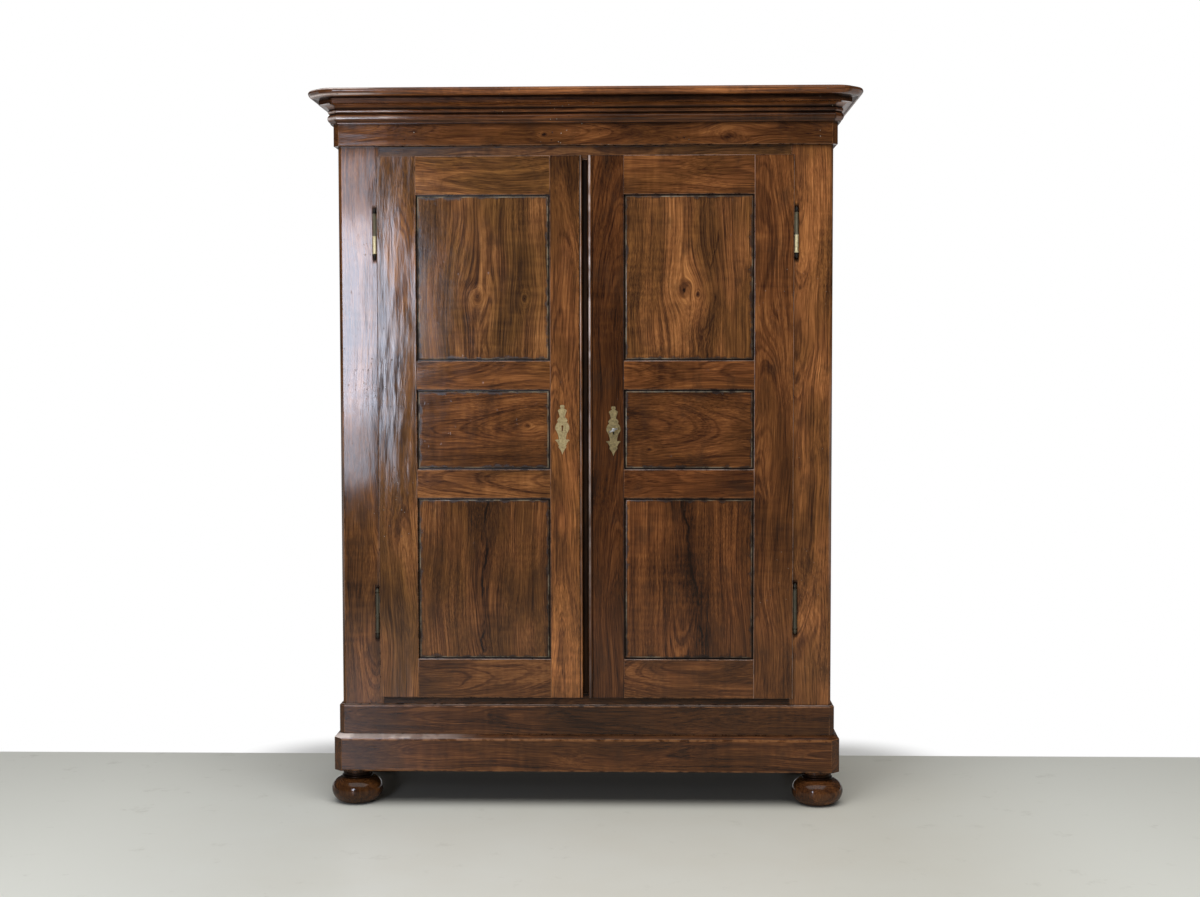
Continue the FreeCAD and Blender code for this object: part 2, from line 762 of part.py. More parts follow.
def feet():
    """Turned bun feet, each with a dowel in a corner block of the plinth."""
    across = ring_half - s.foot_inset
    rear_face = back - s.plinth_back_thickness
    rows = (
        ("front", ring_back + s.foot_inset, ring_back),
        ("rear", rear_face - s.rear_foot_inset, rear_face - s.corner_block_side),
    )
    bun = shared(FOOT_SHARES, s.foot_radius, s.foot_height)
    dowel_top = s.foot_height + s.foot_dowel_length
    outline = [(0, 0)] + bun + [
        (s.foot_dowel_radius, s.foot_height), (s.foot_dowel_radius, dowel_top), (0, dowel_top),
    ]
    blocks = []
    buns = []
    for row_name, line, block_front in rows:
        for side, word in ((-1, "left"), (1, "right")):
            foot = Piece("foot_%s_%s" % (row_name, word))
            foot.turn(outline)
            place(foot.body, across * side, line, 0)
            buns.append(foot)
            block = Piece("corner_block_%s_%s" % (row_name, word))
            block.block(stretch(side, ring_half - s.corner_block_side, ring_half),
                        (block_front, block_front + s.corner_block_side),
                        (s.foot_height, bottom_board_under))
            block.pocket("z", s.foot_height - s.overrun, dowel_top,
                         disc(across * side, line, s.foot_dowel_radius))
            blocks.append(block)
    group("feet", buns)
    group("corner_blocks", blocks)


# Doors


def door_levels():
    """The rails and panels of both doors, from the bottom to the top."""
    bottom_rail = (door_bottom, door_bottom + s.door_bottom_rail)
    top_rail = (door_top - s.door_top_rail, door_top)
    upper_panel = (top_rail[0] - s.door_upper_panel, top_rail[0])
    upper_middle = (upper_panel[0] - s.door_middle_rail, upper_panel[0])
    middle_panel = (upper_middle[0] - s.door_middle_panel, upper_middle[0])
    lower_middle = (middle_panel[0] - s.door_middle_rail, middle_panel[0])
    lower_panel = (bottom_rail[1], lower_middle[0])
    rails = (bottom_rail, lower_middle, upper_middle, top_rail)
    return rails, (lower_panel, middle_panel, upper_panel)


def cut_lip(piece, across, top, bottom):
    """Cut the edge back behind the lip, so that the door enters the opening."""
    depth = (front - s.door_lip_gap, door_back + s.overrun)
    if top:
        piece.notch(across, depth, (opening_top - s.door_play, door_top + s.overrun))
    if bottom:
        piece.notch(across, depth, (door_bottom - s.overrun, opening_bottom + s.door_play))


def left_meeting_plan():
    """Seen from above: a bead at the edge and a tongue behind the gap."""
    quirk = door_front + s.bead_quirk_depth
    tongue = door_front + s.tongue_setback
    bead_in = meeting_edge + s.left_bead
    return [
        (-meeting_edge - s.left_meeting_width, door_front), (-bead_in - s.bead_quirk, door_front),
        (-bead_in - s.bead_quirk, quirk), (-bead_in, quirk), (-meeting_edge, quirk, HALF_TURN),
        (-meeting_edge, tongue), (meeting_edge - s.tongue_gap, tongue),
        (meeting_edge - s.tongue_gap, door_back), (-meeting_edge - s.left_meeting_width, door_back),
    ]


def right_meeting_plan():
    """Seen from above: a proud half-round bead at the edge."""
    quirk = door_front + s.bead_quirk_depth
    bead_in = meeting_edge + s.right_bead
    return [
        (meeting_edge + s.right_meeting_width, door_front), (bead_in + s.bead_quirk, door_front),
        (bead_in + s.bead_quirk, quirk), (bead_in, quirk), (meeting_edge, quirk, -HALF_TURN),
        (meeting_edge, door_back), (meeting_edge + s.right_meeting_width, door_back),
    ]


def door(side):
    word = "left" if side < 0 else "right"
    rails, panels = door_levels()
    thick = (door_front, door_back)
    up = (door_bottom, door_top)
    setback = door_front + s.door_groove_setback
    hinge_inner = door_outer - s.hinge_stile_width
    meeting_width = s.left_meeting_width if side < 0 else s.right_meeting_width
    meeting_inner = meeting_edge + meeting_width
    hinge_stile = panel_stile("%s_door_hinge_stile" % word, "y", side, hinge_inner, door_outer,
                              thick, setback, up, rails, panels, s.door_tenon_length)
    edge = stretch(side, opening_half - s.door_play, door_outer + s.overrun)
    depth = (front - s.door_lip_gap, door_back + s.overrun)
    hinge_stile.notch(edge, depth, (door_bottom - s.overrun, door_top + s.overrun))
    cut_lip(hinge_stile, stretch(side, hinge_inner - s.overrun, door_outer + s.overrun), True, True)
    leaf = (pin_line - s.leaf_thickness / 2, pin_line + s.leaf_thickness / 2)
    slot = stretch(side, pin_across - pin_out - s.door_leaf_reach, door_outer + s.overrun)
    for height in hinge_heights(side):
        hinge_stile.notch(slot, leaf, door_leaf_span(height))

    meeting_stile = Piece("%s_door_meeting_stile" % word)
    meeting_stile.pad("z", *up, left_meeting_plan() if side < 0 else right_meeting_plan())
    cut_frame_joints(meeting_stile, "y", -side, -meeting_inner, setback, rails, panels,
                     s.door_tenon_length)
    cut_lip(meeting_stile, stretch(side, -meeting_edge, meeting_inner + s.overrun), True, True)

    across = stretch(side, meeting_inner, hinge_inner)
    names = ("bottom_rail", "lower_middle_rail", "upper_middle_rail", "top_rail")
    grooved = (("over",), ("under", "over"), ("under", "over"), ("under",))
    made = {}
    for name, span, edges in zip(names, rails, grooved):
        made[name] = panel_rail("%s_door_%s" % (word, name), "y", across, thick, setback, span,
                                s.door_tenon_length, edges)
    reach = (across[0] - s.door_tenon_length, across[1] + s.door_tenon_length)
    cut_lip(made["bottom_rail"], reach, False, True)
    cut_lip(made["top_rail"], reach, True, False)
    group("%s_door_middle_rails" % word, [made["lower_middle_rail"], made["upper_middle_rail"]])
    for name, span in zip(("lower_panel", "middle_panel", "upper_panel"), panels):
        panel("%s_door_%s" % (word, name), "y", across, span, door_front + s.door_panel_recess, setback)
    if side > 0:
        cut_keyhole(meeting_stile, s.key_offset, key_height,
                    door_front - s.overrun, door_back + s.overrun)


# Hinges


def barrel(length, radius, end):
    """The outline of one barrel from its joint outwards, mirrored by end for the lower half."""
    ring = radius + s.barrel_ring
    rise = s.barrel_ring_height
    outline = [
        (ring, s.knuckle_gap / 2 * end), (ring, rise * end), (radius, rise * end),
        (radius, (length - rise) * end), (ring, (length - rise) * end), (ring, length * end),
    ]
    outline += [
        (radius * share[0], (length + s.finial_length * share[1]) * end)
        + tuple(turn * end for turn in share[2:])
        for share in FINIAL_SHARES
    ]
    outline.append((0, (length + s.finial_length) * end))
    return outline


def hinges(side):
    word = "left" if side < 0 else "right"
    bore = s.pin_radius + s.pin_play
    half_leaf = s.leaf_thickness / 2
    door_halves = []
    frame_halves = []
    for level, height in zip(("lower", "upper"), hinge_heights(side)):
        upper = Piece("%s_%s_hinge_door_half" % (word, level))
        upper.turn(barrel(s.upper_barrel_length, s.upper_barrel_radius, 1)
                   + [(0, s.pin_length + s.knuckle_gap), (bore, s.pin_length + s.knuckle_gap),
                      (bore, s.knuckle_gap / 2)])
        root = (bore + s.upper_barrel_radius) / 2
        leaf = stretch(-side, root, pin_out + s.door_leaf_reach)
        upper.block(leaf, (-half_leaf, half_leaf), door_leaf_span(0))
        place(upper.body, pin_across * side, pin_line, height)
        door_halves.append(upper)
        lower = Piece("%s_%s_hinge_frame_half" % (word, level))
        lower.turn(barrel(s.lower_barrel_length, s.lower_barrel_radius, -1)
                   + [(0, s.pin_length), (s.pin_radius, s.pin_length),
                      (s.pin_radius, -s.knuckle_gap / 2)])
        lower.block((-half_leaf, half_leaf), (0, pin_out + s.frame_leaf_reach), frame_leaf_span(0))
        place(lower.body, pin_across * side, pin_line, height)
        frame_halves.append(lower)
    group("%s_hinge_door_halves" % word, door_halves)
    group("%s_hinge_frame_halves" % word, frame_halves)


# Escutcheons


def cut_keyhole(piece, across, up, low, high):
    """A round hole for the shank with a slot below it for the bit."""
    half_slot = s.key_bit_thickness / 2 + s.keyhole_play
    piece.pocket("y", low, high, disc(across, up, s.key_shank_radius + s.keyhole_play))
    piece.pocket("y", low, high, rect(
        across - half_slot, across + half_slot, up - s.key_bit_reach - s.keyhole_play, up))


def escutcheon(name, across, keyhole_height, keyhole_share):
    """A cast plate: urn-shaped outline, pointed drop, and a raised rim round the keyhole."""
    low = s.escutcheon_height * keyhole_share
    right = shared(ESCUTCHEON_SHARES, s.escutcheon_width / 2, s.escutcheon_height)
    right = [(corner[0], corner[1] - low) + corner[2:] for corner in right]
    # Down the left side each arc arrives at the corner that it leaves on the right
    left = []
    for index in range(len(right) - 1, 0, -1):
        turn = right[index + 1][2:] if index + 1 < len(right) else ()
        left.append((-right[index][0], right[index][1]) + turn)
    tip = right[0] + right[1][2:]
    piece = Piece(name)
    piece.pad("y", -s.escutcheon_thickness, 0, [tip] + right[1:] + left)
    half = s.key_shank_radius + s.escutcheon_boss_rim
    foot = s.key_bit_reach - s.key_shank_radius
    boss = [(-half, -foot), (half, -foot, HALF_TURN), (half, 0), (-half, 0, HALF_TURN)]
    face = -s.escutcheon_thickness - s.escutcheon_boss_rise
    piece.pad("y", face, -s.escutcheon_thickness, boss)
    cut_keyhole(piece, 0, 0, face - s.overrun, s.overrun)
    place(piece.body, across, door_front, keyhole_height)


# Rim lock on the right door, its keeper on the left one, and the key


bolt_line = door_back + s.bolt_setback
bolt_low = key_height + s.bolt_rise
bolt_span = (bolt_line, bolt_line + s.bolt_thickness)
bolt_up = (bolt_low, bolt_low + s.bolt_height)
lock_end = s.key_offset + s.lock_beyond_key


def grown(span, play):
    return (span[0] - play, span[1] + play)


def lock_case():
    """A shallow iron box, open to the door, with the bolt's slot and the key's pivot hole."""
    across = (s.lock_inset, lock_end)
    up = (key_height - s.lock_below, key_height + s.lock_above)
    lock_back = door_back + s.lock_depth
    case = Piece("lock_case")
    case.block(across, (door_back, lock_back), up)
    case.notch(grown(across, -s.lock_wall), (door_back - s.overrun, lock_back - s.lock_wall),
               grown(up, -s.lock_wall))
    wall = (s.lock_inset - s.overrun, s.lock_inset + s.lock_wall + s.overrun)
    case.notch(wall, grown(bolt_span, s.bolt_play), grown(bolt_up, s.bolt_play))
    case.pocket("y", lock_back - s.lock_wall - s.overrun, lock_back + s.overrun,
                disc(s.key_offset, key_height, s.key_pin_radius + s.key_pin_play))


def lock_bolt():
    """A flat bolt, drawn back, with the talon that the key's bit pushes."""
    bolt = Piece("lock_bolt")
    bolt.block((s.lock_inset, lock_end - s.lock_wall - s.bolt_tail_gap), bolt_span, bolt_up)
    middle = s.key_offset + s.bolt_throw / 2
    talon = (middle - s.talon_width / 2, middle + s.talon_width / 2)
    bolt.notch(talon, grown(bolt_span, s.overrun), (bolt_low - s.overrun, bolt_low + s.talon_height))


def keeper():
    edge = meeting_edge - s.tongue_gap - s.keeper_shortfall
    depth = (door_back, bolt_span[1] + s.keeper_rim)
    piece = Piece("bolt_keeper")
    piece.block((edge - s.keeper_width, edge), depth, grown(bolt_up, s.keeper_rim))
    piece.notch((edge - s.keeper_mouth, edge + s.overrun), grown(bolt_span, s.keeper_play),
                grown(bolt_up, s.keeper_play))


def key():
    """A key in the lock: oval bow, collar, shank, bit, and the pin that it turns on."""
    end = s.door_thickness + s.lock_depth
    bit_middle = s.door_thickness + s.bolt_setback + s.bolt_thickness / 2
    collar = -s.escutcheon_thickness - s.escutcheon_boss_rise - s.keyhole_play
    bow_radius = s.key_bow_width / 2
    bow_near = -s.key_stand_off - bow_radius
    bow_far = bow_near - s.key_bow_straight
    piece = Piece("key")
    piece.pad("y", -s.key_stand_off - s.key_bow_rim, end - s.lock_wall - s.keyhole_play,
              disc(0, 0, s.key_shank_radius))
    piece.pad("y", end - s.lock_wall - s.keyhole_play, end, disc(0, 0, s.key_pin_radius))
    piece.pad("y", collar - s.key_collar_length, collar, disc(0, 0, s.key_collar_radius))
    piece.pad("y", bit_middle - s.key_bit_width / 2, bit_middle + s.key_bit_width / 2,
              rect(0, s.key_bit_reach, -s.key_bit_thickness / 2, s.key_bit_thickness / 2))
    half = s.key_bow_thickness / 2
    hole = bow_radius - s.key_bow_rim
    piece.pad("z", -half, half, [
        (-bow_radius, bow_far), (bow_radius, bow_far, HALF_TURN),
        (bow_radius, bow_near), (-bow_radius, bow_near, HALF_TURN)])
    piece.pocket("z", -half - s.overrun, half + s.overrun, [
        (-hole, bow_far), (hole, bow_far, HALF_TURN), (hole, bow_near), (-hole, bow_near, HALF_TURN)])
    place(piece.body, s.key_offset, door_front, key_height, Vector(0, -1, 0), KEY_REST_ANGLE)


# Slide bolts on the inside of the left door


def upright(tip, way, near, far):
    """The stretch between two distances from a bolt's tip, for a tip that points up or down."""
    return (tip - far, tip - near) if way > 0 else (tip + near, tip + far)


def slide_bolt(name, tip, way):
    across = grown((-s.slide_offset, -s.slide_offset), s.slide_width / 2)
    depth = (slide_front, slide_front + s.slide_thickness)
    near = s.slide_plate_end_gap
    far = near + s.slide_plate_length
    bar = Piece(name)
    bar.block(across, depth, upright(tip, way, 0, far + s.slide_tail))
    knob = far - s.staple_height - s.slide_knob_gap - s.slide_knob_radius
    knob_up = tip - knob * way
    bar.pad("y", depth[1], depth[1] + s.slide_knob_length,
            disc(-s.slide_offset, knob_up, s.slide_knob_radius))

    plate = Piece(name + "_plate")
    middle = (-s.slide_offset, -s.slide_offset)
    plate.block(grown(middle, s.slide_plate_width / 2), (door_back, door_back + s.slide_plate_thickness),
                upright(tip, way, near, far))
    hollow = grown(across, s.slide_play)
    for low, high in ((near, near + s.staple_height), (far - s.staple_height, far)):
        plate.block(grown(hollow, s.staple_wall),
                    (door_back + s.slide_plate_thickness, depth[1] + s.slide_play + s.staple_wall),
                    upright(tip, way, low, high))
    plate.notch(hollow, (door_back + s.slide_plate_thickness, depth[1] + s.slide_play),
                upright(tip, way, near - s.overrun, far + s.overrun))
    return plate


front_stile(-1)
front_stile(1)
front_rail("front_rail_bottom", base_top, opening_bottom,
           opening_bottom - s.slide_throw, opening_bottom + s.overrun)
front_rail("front_rail_top", opening_top, crown_bottom,
           opening_top - s.overrun, opening_top + s.slide_throw)
side_frame(-1)
side_frame(1)
back_boards()
shelves()
crown()
cornice()
base()
feet()
door(-1)
door(1)
hinges(-1)
hinges(1)
escutcheon("left_escutcheon", -s.left_escutcheon_offset, middle_panel_top - s.left_keyhole_drop,
           LEFT_KEYHOLE_SHARE)
escutcheon("right_escutcheon", s.key_offset, key_height, RIGHT_KEYHOLE_SHARE)
lock_case()
lock_bolt()
keeper()
key()
group("slide_bolt_plates", [
    slide_bolt("top_bolt", opening_top - s.slide_tip_gap, 1),
    slide_bolt("bottom_bolt", opening_bottom + s.slide_tip_gap, -1),
])

doc.recompute()
for item in doc.Objects:
    if "Invalid" in item.State or "Error" in item.State:
        raise RuntimeError("%s is %s" % (item.Name, item.State))
for name, node in nodes.items():
    if node.Shape.isNull() or not node.Shape.isValid():
        raise RuntimeError("%s has no valid shape" % name)

os.makedirs("parts", exist_ok=True)
for name, node in nodes.items():
    node.Shape.exportStep("parts/%s.step" % name)
print("%d nodes, %d solids" % (len(nodes), sum(len(node.Shape.Solids) for node in nodes.values())))
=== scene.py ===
"""Two-door panelled cupboard: polished walnut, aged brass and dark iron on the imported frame.

Metres. X runs to the right, Y to the back and Z up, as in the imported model.
"""
import json
import math
import random

import bmesh
import bpy
from mathutils import Matrix, Vector


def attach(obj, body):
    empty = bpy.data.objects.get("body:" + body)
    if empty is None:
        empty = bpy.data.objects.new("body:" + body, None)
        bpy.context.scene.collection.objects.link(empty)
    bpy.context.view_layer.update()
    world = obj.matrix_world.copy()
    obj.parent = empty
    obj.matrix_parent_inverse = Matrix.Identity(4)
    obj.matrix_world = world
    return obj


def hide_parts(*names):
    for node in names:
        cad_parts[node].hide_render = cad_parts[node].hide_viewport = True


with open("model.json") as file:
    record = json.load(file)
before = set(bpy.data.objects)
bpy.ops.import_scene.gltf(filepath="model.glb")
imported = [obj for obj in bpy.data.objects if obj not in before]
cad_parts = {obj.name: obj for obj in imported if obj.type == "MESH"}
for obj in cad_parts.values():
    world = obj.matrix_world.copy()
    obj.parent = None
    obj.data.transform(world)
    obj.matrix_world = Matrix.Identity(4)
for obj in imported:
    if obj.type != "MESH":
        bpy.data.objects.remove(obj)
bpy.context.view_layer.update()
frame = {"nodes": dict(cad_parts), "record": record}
cad_nodes = frame["nodes"]


def srgb(red, green, blue):
    """A colour given in 0 to 255, as the linear colour that the shaders work in."""
    shares = (red / 255, green / 255, blue / 255)
    linear = [share / 12.92 if share <= 0.04045 else ((share + 0.055) / 1.055) ** 2.4 for share in shares]
    return (*linear, 1)


def new_object(name, data):
    """A new object in the scene."""
    made = bpy.data.objects.new(name, data)
    bpy.context.scene.collection.objects.link(made)
    return made


def applied(draft):
    """The mesh of an object after its modifiers; the object itself goes."""
    result = bpy.data.meshes.new_from_object(draft.evaluated_get(bpy.context.evaluated_depsgraph_get()))
    bpy.data.objects.remove(draft)
    return result


# Shaders written as expressions


class Field:
    """A socket's value over a surface. Python's operators add the Math nodes."""

    def __init__(self, finish, socket):
        self.finish = finish
        self.socket = socket

    def math(self, operation, *terms):
        return self.finish.node("ShaderNodeMath", {"operation": operation}, dict(enumerate(terms)))

    def __add__(self, other):
        return self.math("ADD", self, other)

    def __radd__(self, other):
        return self.math("ADD", other, self)

    def __sub__(self, other):
        return self.math("SUBTRACT", self, other)

    def __rsub__(self, other):
        return self.math("SUBTRACT", other, self)

    def __mul__(self, other):
        return self.math("MULTIPLY", self, other)

    def __rmul__(self, other):
        return self.math("MULTIPLY", other, self)

    def __truediv__(self, other):
        return self.math("DIVIDE", self, other)

    def __rtruediv__(self, other):
        return self.math("DIVIDE", other, self)

    def of(self, operation, *others):
        """Any other Math operation, with this value first."""
        return self.math(operation, self, *others)

    def ease(self, low, high):
        """0 below low, 1 above high, and a smooth step between."""
        return self.finish.node(
            "ShaderNodeMapRange", {"interpolation_type": "SMOOTHSTEP", "clamp": True},
            {"Value": self, "From Min": low, "From Max": high})


class Finish:
    """A material, or the world, while its nodes are being laid."""

    def __init__(self, made, end="ShaderNodeOutputMaterial"):
        self.made = made
        self.end = end
        made.use_nodes = True
        self.tree = made.node_tree
        self.tree.nodes.clear()

    def node(self, kind, settings=None, inputs=None, output=0):
        """Add a node: its settings first, then the values or links of its sockets."""
        made = self.tree.nodes.new(kind)
        for name, value in (settings or {}).items():
            if name == "stops":
                self.lay_stops(made.color_ramp, value)
            else:
                setattr(made, name, value)
        for name, value in (inputs or {}).items():
            if isinstance(value, Field):
                self.tree.links.new(value.socket, made.inputs[name])
            else:
                made.inputs[name].default_value = value
        return Field(self, made.outputs[output])

    @staticmethod
    def lay_stops(ramp, stops):
        while len(ramp.elements) < len(stops):
            ramp.elements.new(1)
        for element, (place, colour) in zip(ramp.elements, stops):
            element.position = place
            element.color = colour

    def place(self):
        return self.node("ShaderNodeTexCoord", output="Object")

    def attribute(self, name, output="Vector"):
        return self.node("ShaderNodeAttribute", {"attribute_name": name}, output=output)

    def vector(self, operation, *terms):
        return self.node("ShaderNodeVectorMath", {"operation": operation}, dict(enumerate(terms)))

    def noise(self, place, stretch, detail=2, roughness=0.5, output="Fac"):
        """Noise whose number of cells per metre is given for each axis."""
        cells = self.vector("MULTIPLY", place, stretch)
        return self.node("ShaderNodeTexNoise", None,
                         {"Vector": cells, "Scale": 1, "Detail": detail, "Roughness": roughness}, output)

    def split(self, vector):
        parts = self.node("ShaderNodeSeparateXYZ", None, {0: vector})
        return [Field(self, socket) for socket in parts.socket.node.outputs]

    def mix(self, amount, first, second, blend="MIX"):
        return self.node("ShaderNodeMix", {"data_type": "RGBA", "blend_type": blend},
                         {0: amount, 6: first, 7: second}, output=2)

    def bump(self, height, distance, under=None):
        inputs = {"Height": height, "Distance": distance, "Strength": 1.0}
        if under is not None:
            inputs["Normal"] = under
        return self.node("ShaderNodeBump", None, inputs)

    def surface(self, **sockets):
        """Close the material with a Principled surface; socket names use _ for a space."""
        named = {name.replace("_", " "): value for name, value in sockets.items()}
        return self.close(self.node("ShaderNodeBsdfPrincipled", None, named))

    def close(self, shader):
        end = self.tree.nodes.new(self.end)
        self.tree.links.new(shader.socket, end.inputs["Surface"])
        return self.made


# Wood. Each board carries its own place in the tree it was cut from

# Old polish also colours the painted shade in grooves, gaps and hollows
STAIN_BROWN, CHECK_BLACK, OLD_POLISH_AND_SHADE = srgb(52, 34, 22), srgb(28, 18, 12), srgb(22, 15, 11)
# The first is the white of painted highlights; then the black and the dust of worm holes
HIGHLIGHT_WHITE, HOLE_BLACK, HOLE_DUST = srgb(214, 198, 190), srgb(14, 9, 7), srgb(206, 188, 164)
SWELL_HEIGHT, WAVER_HEIGHT, RELIEF_HEIGHT = 0.0011, 0.00015, 0.0003


def figure(finish, across, inward, along, detail, roughness=0.55):
    """Noise about zero at a place that is given in cells."""
    where = finish.node("ShaderNodeCombineXYZ", None, {0: across, 1: inward, 2: along})
    return finish.noise(where, (1, 1, 1), detail, roughness) - 0.5


def drifting_grain(finish, grain):
    """The place across, into and along the trunk, after the grain has drifted and trembled."""
    half = (0.5, 0.5, 0.5)
    drift = finish.vector("SUBTRACT", finish.noise(grain, (4.2, 4.2, 1.5), 2, 0.5, "Color"), half)
    tremble = finish.vector("SUBTRACT", finish.noise(grain, (26, 26, 9), 2, 0.5, "Color"), half)
    drift = finish.vector("MULTIPLY", drift, (0.085, 0.085, 0.05))
    drift = finish.vector("ADD", drift, finish.vector("MULTIPLY", tremble, (0.0045, 0.0045, 0.01)))
    return finish.split(finish.vector("ADD", grain, drift))


def part_round_knots(finish, across):
    """Push the grain aside round the two knots; the knots' rings, whorls and eyes come with it."""
    ring = whorl = eye = 0
    for key in ("knot", "twin"):
        knot_across, knot_along, size = finish.split(finish.attribute(key))
        away = knot_across * knot_across + knot_along * knot_along
        across = across - knot_across * size / (1 + away) * 1.15
        near = (away * -1.6).of("EXPONENT")
        rings = finish.node("ShaderNodeCombineXYZ", None, {0: away.of("SQRT") * 5.5, 1: size * 900})
        ring = ring + near
        whorl = whorl + near * (finish.noise(rings, (1, 1, 1), 2, 0.6) - 0.5)
        eye = eye + (away * -11).of("EXPONENT")
    return across, ring, whorl, eye


def dark_vein(finish):
    """How much a broken dark vein and the smoky band round it darken the board."""
    aside, along, strength = finish.split(finish.attribute("vein"))
    wander = finish.node("ShaderNodeCombineXYZ", None, {0: along * 7, 1: along * 2})
    aside = (aside + (finish.noise(wander, (1, 1, 1), 4, 0.6) - 0.5) * 0.07).of("ABSOLUTE")
    broken = finish.noise(wander, (2.2, 2.2, 2.2), 2).ease(0.38, 0.60)
    core = (1 - aside.ease(0.0006, 0.0045)) * 0.40 * broken
    band = (1 - aside.ease(0.0, 0.06)) * 0.20
    return (core + band) * strength


def hinge_gap_shade(finish, spots):
    """1 in the gap beside each hinge, where shade is painted black."""
    across, upper, lower = finish.split(finish.attribute("hinge_gap"))
    along = upper.of("ABSOLUTE").of("MINIMUM", lower.of("ABSOLUTE"))
    slot = 1 - (across.of("ABSOLUTE") + (spots - 0.5) * 0.004).ease(0.0060, 0.0090)
    return slot * (1 - along.ease(0.072, 0.088))


def border_soot(finish, grime, spots):
    """Dark old polish along the borders of the board, wider and denser with its grime."""
    low_across, low_along, _ = finish.split(finish.attribute("low_edge"))
    high_across, high_along, _ = finish.split(finish.attribute("high_edge"))
    border = low_across.of("MINIMUM", high_across).of("MINIMUM", low_along.of("MINIMUM", high_along))
    reach = (border + (spots - 0.5) * 0.05 * grime * grime) / (0.0015 + grime * 0.009)
    return (1 - reach.ease(0.0, 1.0)) * (0.45 + grime * 0.4)


def painted_edge_highlights(finish, worn, line, patchy):
    """Painted highlights: on beads and rounds where line is below 0, and on the edges that glint picks out.
    """
    glint = finish.attribute("glint", "Fac")
    facing = finish.split(finish.node("ShaderNodeNewGeometry", output="Normal"))
    upward = facing[2].ease(0.25, 0.85)
    sideways = facing[0].of("ABSOLUTE").ease(0.25, 0.85)
    catching = worn.of("MAXIMUM", (glint - 1).ease(0.2, 0.7))
    caught = (catching * upward * glint).of("MAXIMUM", worn * sideways * glint * -1)
    painted_shine = (line * -1).of("MAXIMUM", 0) * (0.25 + patchy * 0.75)
    return painted_shine.of("MAXIMUM", caught * (0.35 + patchy * 0.65))


def worm_holes(finish, place, worm):
    """The worm holes of a riddled board, and the pale dust in some of them."""
    holes = finish.node("ShaderNodeTexVoronoi", {"feature": "F1"}, {"Vector": place, "Scale": 70.0})
    riddled = finish.noise(place, (5.3, 5.3, 5.3), 2).ease(0.54, 0.60) * worm
    dusted = finish.noise(place, (31, 31, 31), 1).ease(0.42, 0.50)
    hole = (1 - holes.ease(0.10, 0.16)) * riddled
    dust = (1 - holes.ease(0.06, 0.10)) * riddled * dusted
    return hole, dust


